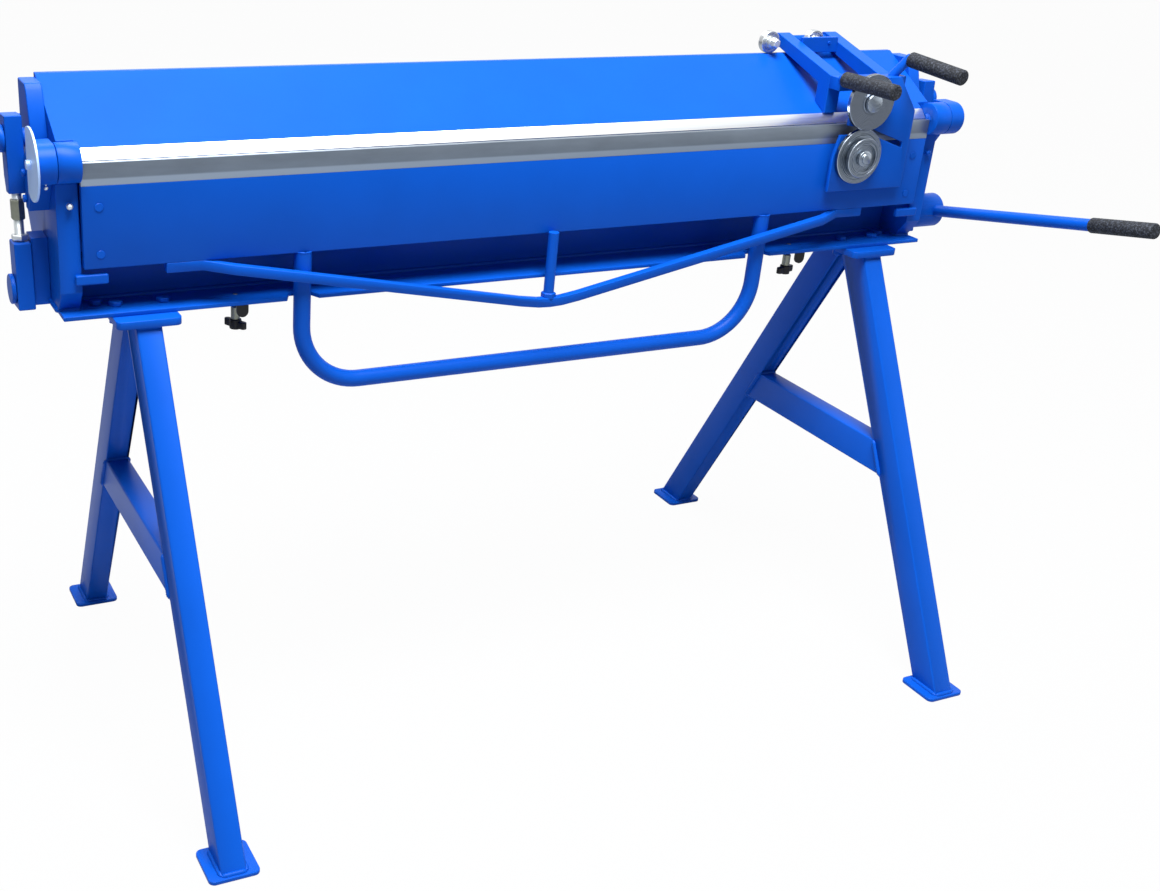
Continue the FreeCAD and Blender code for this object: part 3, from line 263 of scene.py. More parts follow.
def close_up(bm, made, shift):
    """Gives a flat face or ring its thickness."""
    moved = [g for g in made["geom"] if isinstance(g, bmesh.types.BMVert)]
    bmesh.ops.translate(bm, vec=shift, verts=moved)
    bmesh.ops.recalc_face_normals(bm, faces=bm.faces)


def prism(bm, axis, outline, start, end):
    """Adds a plate: its outline in the plane across an axis, from start to end along it."""
    def place(pair, along):
        values = list(pair)
        values.insert(axis, along)
        return Vector(values)
    face = bm.faces.new([bm.verts.new(place(pair, start)) for pair in outline])
    close_up(bm, bmesh.ops.extrude_face_region(bm, geom=[face]), place((0, 0), end - start))


def block(bm, low, high):
    """Adds a plain block between two corners."""
    prism(bm, 0, [(low.y, low.z), (high.y, low.z), (high.y, high.z), (low.y, high.z)], low.x, high.x)


def arc(across, up, radius, first, sweep, steps):
    """Points along an arc about a centre, in the plane of an outline."""
    angles = [first + sweep * k / steps for k in range(steps + 1)]
    return [(across + radius * math.cos(a), up + radius * math.sin(a)) for a in angles]


def bored_plate(bm, outline, centre, radius, start, end):
    """Adds a plate across X with a round bore through it."""
    bore = arc(centre.y, centre.z, radius, 0, math.tau, ROD_STEPS)[:-1]
    edges = []
    for loop in (outline, bore):
        verts = [bm.verts.new((start, y, z)) for y, z in loop]
        edges += [bm.edges.new(pair) for pair in zip(verts, verts[1:] + verts[:1])]
    faces = bmesh.ops.bridge_loops(bm, edges=edges)["faces"]
    close_up(bm, bmesh.ops.extrude_face_region(bm, geom=faces), X_AXIS * (end - start))


def rod(bm, start, end, radius, round_end=0.0):
    """Adds a round rod between two points, with rounded rims if wanted."""
    long, e = (end - start).length, round_end
    profile = [(0, 0), (radius - e, 0), (radius, e), (radius, long - e), (radius - e, long), (0, long)]
    if not e:
        profile = [(0, 0), (radius, 0), (radius, long), (0, long)]
    turned(bm, start, (end - start).normalized(), profile, ROD_STEPS)


def rod_across(bm, start, end, centre, radius, round_end=0.0):
    """Adds a round rod along X between two places, at the depth and height of a centre."""
    rod(bm, Vector((start, centre.y, centre.z)), Vector((end, centre.y, centre.z)), radius, round_end)


def ball(bm, centre, radius, segments):
    """Adds a ball."""
    bmesh.ops.create_uvsphere(bm, u_segments=segments, v_segments=16, radius=radius,
                              matrix=Matrix.Translation(centre))


def thread(bm, start, way, radius, long, pitch):
    """Adds a threaded stud: one ridge for each turn."""
    profile, depth = [(0, 0)], pitch * 0.5
    for k in range(int(long / pitch)):
        profile += [(radius - depth, k * pitch), (radius, (k + 0.5) * pitch)]
    profile += [(radius - depth, long), (0, long)]
    turned(bm, start, way, profile, THREAD_STEPS)


# Welds: how much a ripple swells the bar, how thin its ends start and how fast they fill out
RIPPLE = 0.14
THIN_END = 0.45
FILL_OUT = 0.5


def bead(bm, start, end, leg, pitch):
    """Adds a weld: a round bar along the joint, with a ripple at each pitch and thinned ends."""
    run = end - start
    along, long = run.normalized(), run.length
    rings = 2 * max(2, round(long / pitch))
    bar = bmesh.new()
    bmesh.ops.create_cone(bar, cap_ends=True, segments=8, radius1=leg, radius2=leg, depth=long,
                          matrix=Matrix.Translation(start.lerp(end, 0.5)) @ to_axis(along))
    lengthways = [e for e in bar.edges if abs((e.verts[0].co - e.verts[1].co).dot(along)) > long * 0.99]
    bmesh.ops.subdivide_edges(bar, edges=lengthways, cuts=rings - 1, use_grid_fill=True)
    for vert in bar.verts:
        travel = (vert.co - start).dot(along)
        centre = start + along * travel
        taper = min(1.0, THIN_END + min(travel, long - travel) / leg * FILL_OUT)
        swell = taper * (1 + RIPPLE * math.cos(math.tau * travel / pitch))
        vert.co = centre + (vert.co - centre) * swell
    mesh = bpy.data.meshes.new("bead")
    bar.to_mesh(mesh)
    bar.free()
    bm.from_mesh(mesh)
    bpy.data.meshes.remove(mesh)


def bead_round(bm, corners, leg, pitch):
    """Adds a weld along each side of a closed loop of corners."""
    for a, b in zip(corners, corners[1:] + corners[:1]):
        bead(bm, a, b, leg, pitch)


def bead_ring(bm, centre, axis, radius, leg, pitch):
    """Adds a weld round a circle, in straight runs of about three ripples."""
    steps = max(8, round(math.tau * radius / pitch / 3))
    turn = to_axis(axis)
    points = [centre + turn @ Vector((radius * math.cos(a), radius * math.sin(a), 0))
              for a in (math.tau * k / steps for k in range(steps))]
    bead_round(bm, points, leg, pitch)


def flat_corners(low, high, z):
    """The four corners of a box's outline at one height."""
    return [Vector((low.x, low.y, z)), Vector((high.x, low.y, z)),
            Vector((high.x, high.y, z)), Vector((low.x, high.y, z))]


# Finishes
def add(tree, kind, settings, links):
    """Adds one shader node, sets its values and joins its inputs."""
    node = tree.nodes.new("ShaderNode" + kind)
    for key, value in settings.items():
        if isinstance(key, int) or key in node.inputs:
            node.inputs[key].default_value = value
        else:
            setattr(node, key, value)
    for key, (source, output) in links.items():
        tree.links.new(source.outputs[output], node.inputs[key])
    return node


def new_finish(name):
    """An empty material with its shader, object coordinates and tree."""
    finish = bpy.data.materials.new(name)
    finish.use_nodes = True
    tree = finish.node_tree
    shader = tree.nodes["Principled BSDF"]
    place = add(tree, "TexCoord", {}, {})
    return finish, tree, shader, place


def shade(rgb, factor):
    """A colour made lighter or darker, with full alpha."""
    return tuple(min(1.0, c * factor) for c in rgb) + (1.0,)


def powder_coat(rgb):
    """Powder-coated steel: an even semi-gloss blue skin with orange peel and a little dust."""
    finish, tree, shader, place = new_finish("powder_coated_steel")
    shader.inputs["Roughness"].default_value = 0.36
    shader.inputs["Specular IOR Level"].default_value = 0.1
    # Slow clouds, about 90 mm wide, as the coat thickness varies
    clouds = add(tree, "TexNoise", {"Scale": 11.0, "Detail": 3.0}, {"Vector": (place, "Object")})
    tint = add(tree, "Mix", {"data_type": "RGBA", 6: shade(rgb, 0.9), 7: shade(rgb, 1.08)},
               {0: (clouds, "Fac")})
    tree.links.new(tint.outputs[2], shader.inputs["Base Color"])
    # Orange peel is about 2 mm wide and is drawn at 5 mm to show
    peel = add(tree, "TexNoise", {"Scale": 200.0, "Detail": 2.0}, {"Vector": (place, "Object")})
    skin = add(tree, "Bump", {"Strength": 0.12, "Distance": 0.4 * MM}, {"Height": (peel, "Fac")})
    tree.links.new(skin.outputs["Normal"], shader.inputs["Normal"])
    return finish


def ground_steel(rgb, name, strip_top):
    """Surface-ground steel: blue-grey, lined along the bed, dull above and lighter in a strip along the foot.
    """
    finish, tree, shader, place = new_finish(name)
    shader.inputs["Metallic"].default_value = 0.85
    # Lines along X, about 1 mm apart across and 60 mm long
    stretch = add(tree, "Mapping", {"Scale": (16.0, 900.0, 900.0)}, {"Vector": (place, "Object")})
    lines = add(tree, "TexNoise", {"Scale": 1.0, "Detail": 3.0}, {"Vector": (stretch, "Vector")})
    # Slow stains, about 60 mm long, where the mill skin still shows
    drawn = add(tree, "Mapping", {"Scale": (16.0, 60.0, 60.0)}, {"Vector": (place, "Object")})
    stains = add(tree, "TexNoise", {"Scale": 1.0, "Detail": 4.0}, {"Vector": (drawn, "Vector")})
    tint = add(tree, "Mix", {"data_type": "RGBA", 6: shade(rgb, 0.75), 7: shade(rgb, 1.15)},
               {0: (stains, "Fac")})
    # The bright strip is 9 mm high, with an edge 2 mm soft
    axes = add(tree, "SeparateXYZ", {}, {"Vector": (place, "Object")})
    foot = add(tree, "MapRange", {"From Min": strip_top + 1 * MM, "From Max": strip_top - 1 * MM},
               {"Value": (axes, "Z")})
    strip = add(tree, "Mix", {"data_type": "RGBA", 7: shade(rgb, 1.6)},
                {0: (foot, "Result"), 6: (tint, 2)})
    tree.links.new(strip.outputs[2], shader.inputs["Base Color"])
    gloss = add(tree, "MapRange", {"To Min": 0.34, "To Max": 0.52}, {"Value": (lines, "Fac")})
    tree.links.new(gloss.outputs["Result"], shader.inputs["Roughness"])
    relief = add(tree, "Bump", {"Strength": 0.15, "Distance": 0.1 * MM}, {"Height": (lines, "Fac")})
    tree.links.new(relief.outputs["Normal"], shader.inputs["Normal"])
    return finish


def polished_steel(rgb):
    """Polished tool steel: almost white, with faint draw lines along the nose."""
    finish, tree, shader, place = new_finish("polished_steel")
    shader.inputs["Metallic"].default_value = 1.0
    # Draw lines, about 1.5 mm apart and 200 mm long
    stretch = add(tree, "Mapping", {"Scale": (5.0, 700.0, 700.0)}, {"Vector": (place, "Object")})
    lines = add(tree, "TexNoise", {"Scale": 1.0, "Detail": 2.0}, {"Vector": (stretch, "Vector")})
    tint = add(tree, "Mix", {"data_type": "RGBA", 6: shade(rgb, 0.86), 7: shade(rgb, 1.05)},
               {0: (lines, "Fac")})
    tree.links.new(tint.outputs[2], shader.inputs["Base Color"])
    gloss = add(tree, "MapRange", {"To Min": 0.3, "To Max": 0.46}, {"Value": (lines, "Fac")})
    tree.links.new(gloss.outputs["Result"], shader.inputs["Roughness"])
    return finish


def zinc_plate(rgb, name):
    """Zinc-plated steel: soft grey with a faint warm bloom."""
    finish, tree, shader, place = new_finish(name)
    shader.inputs["Metallic"].default_value = 1.0
    # Bloom patches, about 6 mm wide
    bloom = add(tree, "TexNoise", {"Scale": 160.0, "Detail": 3.0}, {"Vector": (place, "Object")})
    tint = add(tree, "Mix", {"data_type": "RGBA", 6: shade(rgb, 0.8), 7: shade(rgb, 1.15)},
               {0: (bloom, "Fac")})
    tree.links.new(tint.outputs[2], shader.inputs["Base Color"])
    gloss = add(tree, "MapRange", {"To Min": 0.3, "To Max": 0.48}, {"Value": (bloom, "Fac")})
    tree.links.new(gloss.outputs["Result"], shader.inputs["Roughness"])
    return finish


def turned_steel(rgb, name, centre, contrast):
    """Turned and hardened steel: lathe rings about the piece's own axis, dark and bright by turns."""
    finish, tree, shader, place = new_finish(name)
    shader.inputs["Metallic"].default_value = 1.0
    hub = add(tree, "Mapping", {"Location": (-centre.x, -centre.y, -centre.z)},
              {"Vector": (place, "Object")})
    # Lathe rings are about 0.2 mm apart and are drawn at 2 mm to show
    rings = add(tree, "TexWave", {"wave_type": "RINGS", "rings_direction": "Y",
                                  "Scale": math.tau / (2 * MM) / 20, "Distortion": 1.5, "Detail": 2.0},
                {"Vector": (hub, "Vector")})
    tint = add(tree, "Mix", {"data_type": "RGBA", 6: shade(rgb, 1 - contrast), 7: shade(rgb, 1 + contrast)},
               {0: (rings, "Fac")})
    tree.links.new(tint.outputs[2], shader.inputs["Base Color"])
    gloss = add(tree, "MapRange", {"To Min": 0.2, "To Max": 0.36}, {"Value": (rings, "Fac")})
    tree.links.new(gloss.outputs["Result"], shader.inputs["Roughness"])
    relief = add(tree, "Bump", {"Strength": 0.2, "Distance": 0.1 * MM}, {"Height": (rings, "Fac")})
    tree.links.new(relief.outputs["Normal"], shader.inputs["Normal"])
    return finish


def satin_disc(rgb):
    """Satin-anodised aluminium: pale and even, with fine grain; its cool blue tint is partly its own colour
    and partly a painted reflection.
    """
    finish, tree, shader, place = new_finish("satin_anodised_aluminium")
    shader.inputs["Metallic"].default_value = 0.4
    shader.inputs["Roughness"].default_value = 0.45
    # Grain, drawn at 3 mm to show
    grain = add(tree, "TexNoise", {"Scale": 330.0, "Detail": 2.0}, {"Vector": (place, "Object")})
    tint = add(tree, "Mix", {"data_type": "RGBA", 6: shade(rgb, 0.93), 7: shade(rgb, 1.05)},
               {0: (grain, "Fac")})
    tree.links.new(tint.outputs[2], shader.inputs["Base Color"])
    return finish


def moulded_plastic(rgb):
    """Moulded black nylon: dull, with a fine spark-eroded grain."""
    finish, tree, shader, place = new_finish("moulded_nylon")
    shader.inputs["IOR"].default_value = 1.53
    shader.inputs["Specular IOR Level"].default_value = 0.3
    # Grain, drawn at 1 mm to show
    grain = add(tree, "TexNoise", {"Scale": 1000.0, "Detail": 2.0}, {"Vector": (place, "Object")})
    tint = add(tree, "Mix", {"data_type": "RGBA", 6: shade(rgb, 0.8), 7: shade(rgb, 1.4)},
               {0: (grain, "Fac")})
    tree.links.new(tint.outputs[2], shader.inputs["Base Color"])
    gloss = add(tree, "MapRange", {"To Min": 0.38, "To Max": 0.5}, {"Value": (grain, "Fac")})
    tree.links.new(gloss.outputs["Result"], shader.inputs["Roughness"])
    skin = add(tree, "Bump", {"Strength": 0.2, "Distance": 0.1 * MM}, {"Height": (grain, "Fac")})
    tree.links.new(skin.outputs["Normal"], shader.inputs["Normal"])
    return finish


def foam_rubber(rgb):
    """Foam rubber: matt charcoal with an open skin and pale specks on the cell walls."""
    finish, tree, shader, place = new_finish("foam_rubber")
    shader.inputs["Specular IOR Level"].default_value = 0.25
    # Cells are about 0.5 mm and are drawn at 2.5 mm to show
    cells = add(tree, "TexVoronoi", {"Scale": 400.0}, {"Vector": (place, "Object")})
    # Grain, about 3 mm wide, that breaks the cells up
    grain = add(tree, "TexNoise", {"Scale": 330.0, "Detail": 3.0, "Roughness": 0.7},
                {"Vector": (place, "Object")})
    specks = add(tree, "MapRange", {"From Min": 0.48, "From Max": 0.66}, {"Value": (grain, "Fac")})
    tint = add(tree, "Mix", {"data_type": "RGBA", 6: shade(rgb, 0.7), 7: shade(rgb, 4.2)},
               {0: (specks, "Result")})
    tree.links.new(tint.outputs[2], shader.inputs["Base Color"])
    gloss = add(tree, "MapRange", {"To Min": 0.62, "To Max": 0.8}, {"Value": (grain, "Fac")})
    tree.links.new(gloss.outputs["Result"], shader.inputs["Roughness"])
    skin = add(tree, "Bump", {"Strength": 0.6, "Distance": 0.5 * MM}, {"Height": (cells, "Distance")})
    tree.links.new(skin.outputs["Normal"], shader.inputs["Normal"])
    return finish


def floor_finish(rgb):
    """Matt painted studio floor with faint roller marks, almost burnt out to white for the camera."""
    finish, tree, shader, place = new_finish("painted_floor")
    shader.inputs["Roughness"].default_value = 0.85
    shader.inputs["Specular IOR Level"].default_value = 0.1
    # Roller marks, about 120 mm wide
    marks = add(tree, "TexNoise", {"Scale": 8.0, "Detail": 2.0}, {"Vector": (place, "Object")})
    tint = add(tree, "Mix", {"data_type": "RGBA", 6: shade(rgb, 0.985), 7: shade(rgb, 1.0)},
               {0: (marks, "Fac")})
    tree.links.new(tint.outputs[2], shader.inputs["Base Color"])
    glow = add(tree, "Emission", {"Color": (1.0, 1.0, 1.0, 1.0), "Strength": 1.0}, {})
    rays = add(tree, "LightPath", {}, {})
    share = add(tree, "Math", {"operation": "MULTIPLY", 1: FLOOR_GLOW}, {0: (rays, "Is Camera Ray")})
    mixed = add(tree, "MixShader", {}, {0: (share, "Value"), 1: (shader, "BSDF"), 2: (glow, "Emission")})
    tree.links.new(mixed.outputs["Shader"], tree.nodes["Material Output"].inputs["Surface"])
    return finish


FINISHES = {}
BRIGHT_STRIP_HIGH = 9.0 * MM


def make_finishes(colours):
    """Makes the finishes that several pieces share."""
    FINISHES["paint"] = powder_coat(colours.paint)
    FINISHES["ground"] = ground_steel(colours.ground, "ground_steel", 0.0)
    strip_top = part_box("folding_blade")[0].z + BRIGHT_STRIP_HIGH
    FINISHES["blade"] = ground_steel(colours.ground, "ground_blade_steel", strip_top)
    FINISHES["polished"] = polished_steel(colours.polished)
    FINISHES["zinc"] = zinc_plate(colours.zinc, "zinc_plated_steel")
    FINISHES["bright"] = zinc_plate(colours.bright, "bright_zinc_steel")
    FINISHES["disc"] = satin_disc(colours.disc)
    FINISHES["plastic"] = moulded_plastic(colours.plastic)
    FINISHES["foam"] = foam_rubber(colours.foam)


def turned_finish(node, rgb, contrast):
    """Turned steel with its rings about the middle of a piece."""
    return turned_steel(rgb, "turned_steel_" + node, span_centre(node), contrast)


# Pieces of the painted frame that keep the part's own shape
TUBES = ["trestle_legs", "trestle_crossbars"]
PLATES = ["trestle_top_plates", "trestle_foot_plates", "base_flange", "bed_bar", "end_plates"]
BEAM = ["folding_beam_plate", "folding_knuckles"]
CLAMP = ["upper_beam_bottom_plate", "link_pins"]
CARRIAGE = ["carriage_crossbar", "shear_plate"]


class FOLDER_OT_steelwork(bpy.types.Operator):
    """Dress the painted plates, tubes and bars."""
    bl_idname = "folder.steelwork"
    bl_label = "Painted Steelwork"

    def execute(self, context):
        sizes = context.scene.folder_sizes
        make_finishes(context.scene.folder_colours)
        for node in TUBES:
            dressed(node, FINISHES["paint"], sizes.tube_edge)
        for node in PLATES + BEAM + CLAMP + CARRIAGE:
            dressed(node, FINISHES["paint"], sizes.plate_edge)
        return {"FINISHED"}


# Bearing blocks of the cross shaft
SHAFT_BORE_R = 9.05 * MM
BEARING_DEPTH = 36.0 * MM
BEARING_THICK = 21.5 * MM
BEARING_RAISE = 4.0 * MM

# Hinge brackets: a round nose about the pin, a flat top and a foot against the end plate
PIN_BORE_R = 9.05 * MM
BRACKET_R = 26.0 * MM
BRACKET_THICK = 26.0 * MM
BRACKET_NOSE = math.radians(210)
BRACKET_FOOT = 20.0 * MM
BRACKET_STEP = 8.0 * MM
BRACKET_TOP = 25.0 * MM

# Front lugs: raised, and shortened at their inner ends, from the part's own
LUG_UNDER_RISE = 4.0 * MM
LUG_TOP_RISE = 5.0 * MM
LUG_SHORTER = 6.0 * MM


class FOLDER_OT_base(bpy.types.Operator):
    """Make the web, the bearing blocks, the hinge brackets, the front lugs and the flange ears."""
    bl_idname = "folder.base"
    bl_label = "Base Details"

    def execute(self, context):
        sizes = context.scene.folder_sizes
        self.web(sizes.plate_edge)
        self.bearings(sizes.plate_edge)
        self.brackets(sizes.plate_edge)
        self.lugs(sizes)
        return {"FINISHED"}

    def web(self, edge):
        bed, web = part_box("bed_bar"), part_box("base_web")
        bm = bmesh.new()
        block(bm, Vector((bed[0].x, web[0].y, web[0].z)), Vector((bed[1].x, web[1].y, web[1].z)))
        piece("base_web.finish", bm, FINISHES["paint"], "base", ["base_web"], edge)

    def bearings(self, edge):
        low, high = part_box("bearing_blocks")
        shaft = span_centre("shaft_washers")
        front, back = shaft.y - BEARING_DEPTH / 2, shaft.y + BEARING_DEPTH / 2
        foot = low.z + BEARING_RAISE
        outline = [(front, foot), (back, foot), (back, high.z), (front, high.z)]
        bm = bmesh.new()
        for x in (low.x, high.x - BEARING_THICK):
            bored_plate(bm, outline, shaft, SHAFT_BORE_R, x, x + BEARING_THICK)
        piece("bearing_blocks.finish", bm, FINISHES["paint"], "base", ["bearing_blocks"], edge)

    def brackets(self, edge):
        low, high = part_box("hinge_brackets")
        pin = span_centre("hinge_pins")
        outline = arc(pin.y, pin.z, BRACKET_R, math.radians(90), BRACKET_NOSE, 28)
        outline += [(high.y - BRACKET_FOOT, low.z), (high.y, low.z), (high.y, pin.z - BRACKET_STEP),
                    (pin.y + BRACKET_TOP, high.z)]
        bm = bmesh.new()
        for x in (low.x, high.x - BRACKET_THICK):
            bored_plate(bm, outline, pin, PIN_BORE_R, x, x + BRACKET_THICK)
        piece("hinge_brackets.finish", bm, FINISHES["paint"], "base", ["hinge_brackets"], edge)

    def lugs(self, sizes):
        bars, ears = bmesh.new(), bmesh.new()
        for points in islands("base_lugs"):
            low, high = span(points)
            if high.z < FLANGE_BOX[0].z + MM:
                half = (high.x - low.x) / 2
                tongue = arc(low.x + half, low.z + half, half, math.pi, math.pi, 16)
                prism(ears, 1, [(high.x, high.z), (low.x, high.z)] + tongue, low.y, high.y)
            else:
                low.z += LUG_UNDER_RISE
                high.z += LUG_TOP_RISE
                if middle_x(points) > MIDDLE_X:
                    low.x += LUG_SHORTER
                else:
                    high.x -= LUG_SHORTER
                block(bars, low, high)
        piece("base_lugs.finish", bars, FINISHES["paint"], "base", ["base_lugs"], sizes.lug_edge)
        piece("flange_ears", ears, FINISHES["plastic"], "base", edge=sizes.plate_edge)


# Upper beam: its folded skin slopes down to the front edge
SKIN_FRONT_Z = 892.5 * MM
SKIN_THICK = 8.0 * MM

# Cheeks: a tall front with a chamfered brow, an upright back edge and a slim arm to the rear pivot
CHEEK_THICK = 22.5 * MM
CHEEK_ARM = 9.0 * MM
CHEEK_RAISE = 13.0 * MM
CHEEK_FRONT_RISE = 10.0 * MM
CHEEK_SHOULDER = 18.0 * MM
CHEEK_SHOULDER_DROP = 8.0 * MM
CHEEK_BROW = 26.0 * MM
CHEEK_PAST_SKIN = 1.0 * MM
PIVOT_PIN_R = 6.0 * MM
PIVOT_PIN_ROUND = 1.5 * MM


def skin_rise():
    """How far the skin rises for each step from front to back."""
    low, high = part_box("upper_beam_top_plate")
    return (high.z - SKIN_FRONT_Z) / (high.y - low.y)


def skin_top(y):
    """Height of the skin's upper face at a depth."""
    return SKIN_FRONT_Z + (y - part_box("upper_beam_top_plate")[0].y) * skin_rise()


class FOLDER_OT_upper_beam(bpy.types.Operator):
    """Make the upper beam's folded skin, its back and ends, the cheeks and the rear pivots."""
    bl_idname = "folder.upper_beam"
    bl_label = "Upper Beam"

    def execute(self, context):
        sizes = context.scene.folder_sizes
        drop = SKIN_THICK * math.hypot(1, skin_rise())
        self.skin(drop, sizes.plate_edge)
        self.back_and_ends(drop, sizes.plate_edge)
        self.cheeks(sizes.block_edge)
        self.pivots()
        return {"FINISHED"}

    def skin(self, drop, edge):
        skin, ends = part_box("upper_beam_top_plate"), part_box("upper_beam_end_blocks")
        corners = [(ends[0].x, ends[0].y), (ends[0].x, skin[1].y), (ends[1].x, skin[1].y),
                   (ends[1].x, ends[0].y), (skin[1].x, ends[0].y), (skin[1].x, skin[0].y),
                   (skin[0].x, skin[0].y), (skin[0].x, ends[0].y)]
        bm = bmesh.new()
        face = bm.faces.new([bm.verts.new((x, y, skin_top(y))) for x, y in corners])
        close_up(bm, bmesh.ops.extrude_face_region(bm, geom=[face]), Z_AXIS * -drop)
        piece("upper_beam_skin", bm, FINISHES["paint"], "upper_beam", ["upper_beam_top_plate"], edge)

    def back_and_ends(self, drop, edge):
        skin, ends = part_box("upper_beam_top_plate"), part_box("upper_beam_end_blocks")
        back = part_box("upper_beam_back_plate")
        bm = bmesh.new()
        block(bm, Vector((ends[0].x, back[0].y, back[0].z)), Vector((ends[1].x, back[1].y, back[1].z)))
        piece("upper_beam_back", bm, FINISHES["paint"], "upper_beam", ["upper_beam_back_plate"], edge)
        outline = [(ends[0].y, ends[0].z), (ends[0].y, skin_top(ends[0].y) - drop),
                   (back[0].y, skin_top(back[0].y) - drop), (back[0].y, ends[0].z)]
        bm = bmesh.new()
        prism(bm, 0, outline, ends[0].x, skin[0].x)
        prism(bm, 0, outline, skin[1].x, ends[1].x)
        piece("upper_beam_ends", bm, FINISHES["paint"], "upper_beam", ["upper_beam_end_blocks"], edge)

    def cheeks(self, edge):
        low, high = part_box("cheeks")
        pivot = span_centre("rear_pivot_pins")
        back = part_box("upper_beam_top_plate")[1].y + CHEEK_PAST_SKIN
        outline = [(low.y, low.z + CHEEK_RAISE), (low.y, pivot.z + CHEEK_FRONT_RISE),
                   (low.y + CHEEK_SHOULDER, high.z - CHEEK_SHOULDER_DROP), (low.y + CHEEK_BROW, high.z),
                   (back, high.z), (back, pivot.z + CHEEK_ARM)]
        outline += arc(pivot.y, pivot.z, CHEEK_ARM, math.radians(90), -math.pi, 20)
        bm = bmesh.new()
        for x in (low.x, high.x - CHEEK_THICK):
            prism(bm, 0, outline, x, x + CHEEK_THICK)
        piece("cheeks.finish", bm, FINISHES["paint"], "upper_beam", ["cheeks"], edge)

    def pivots(self):
        pins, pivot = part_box("rear_pivot_pins"), span_centre("rear_pivot_pins")
        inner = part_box("bed_bar")[1].x
        bm = bmesh.new()
        for start, end in ((pins[0].x, 2 * MIDDLE_X - inner), (inner, pins[1].x)):
            rod_across(bm, start, end, pivot, PIVOT_PIN_R, PIVOT_PIN_ROUND)
        piece("rear_pivot_pins.finish", bm, FINISHES["paint"], "upper_beam", ["rear_pivot_pins"])


# Strut and truss bar under the folding beam
STRUT_R = 8.0 * MM
STRUT_NUT_RISE = 10.0 * MM
STRUT_NUT_FLATS = 20.0 * MM
STRUT_NUT_HIGH = 9.0 * MM
TIE_FLAT_LONG = 43.0 * MM
TIE_FLAT_LONGER = 8.0 * MM
TIE_FLAT_BACK = 13.0 * MM


class FOLDER_OT_handle(bpy.types.Operator):
    """Dress the pull handle and make the strut and the truss bar."""
    bl_idname = "folder.handle"
    bl_label = "Handle and Strut"

    def execute(self, context):
        sizes = context.scene.folder_sizes
        dressed("pull_handle", FINISHES["paint"], 0.0)
        self.strut(sizes)
        self.tie(sizes.plate_edge)
        return {"FINISHED"}

    def strut(self, sizes):
        low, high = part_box("centre_strut")
        foot = Vector(((low.x + high.x) / 2, (low.y + high.y) / 2, low.z))
        long = high.z - low.z
        bm = bmesh.new()
        turned(bm, foot, Z_AXIS, [(0, 0), (STRUT_R, 0), (STRUT_R, long), (0, long)], STRUT_STEPS)
        nut = foot + Z_AXIS * STRUT_NUT_RISE
        hexagon(bm, nut, Z_AXIS, STRUT_NUT_FLATS, STRUT_NUT_HIGH, sizes.nut_chamfer)
        piece("centre_strut.finish", bm, FINISHES["paint"], "folding_beam", ["centre_strut"], sizes.fine_edge)

    def tie(self, edge):
        """The flat ends of the truss bar lie under the beam's return."""
        low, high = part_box("tie_bar")
        bar, half, rise = merged("tie_bar"), (high.x - low.x) / 2, high.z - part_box("folding_beam_plate")[0].z
        for vert in bar.verts:
            reach = abs(vert.co.x - MIDDLE_X)
            if reach > half - TIE_FLAT_LONG:
                vert.co.y += TIE_FLAT_BACK
                vert.co.z -= rise
            if reach > half - MM:
                vert.co.x += math.copysign(TIE_FLAT_LONGER, vert.co.x - MIDDLE_X)
        piece("tie_bar.finish", bar, FINISHES["paint"], "folding_beam", ["tie_bar"], edge)


class FOLDER_OT_blade(bpy.types.Operator):
    """Finish the folding blade, the clamping nose and the hinge pins."""
    bl_idname = "folder.blade"
    bl_label = "Blade and Nose"

    def execute(self, context):
        edge = context.scene.folder_sizes.fine_edge
        dressed("folding_blade", FINISHES["blade"], edge)
        dressed("clamp_nose", FINISHES["polished"], edge)
        dressed("hinge_pins", FINISHES["paint"], edge)
        return {"FINISHED"}


# Grease nipples and screws
NIPPLE_NECK_R = 3.4 * MM
SMALL_NIPPLE_LEAN = math.radians(15.5)
SMALL_NIPPLE_ROOT = 25.0 * MM
SMALL_NIPPLE_HIGH = 5.0 * MM
SMALL_NIPPLE_NECK_R = 1.2 * MM
SMALL_NIPPLE_R = 2.8 * MM
SCREW_HEAD_HIGH = 1.2 * MM
SCREW_HEAD_ROUND = 0.8 * MM

# Only edges of a bolt that are sharper than this, in degrees, are chamfered
BOLT_ANGLE = 50


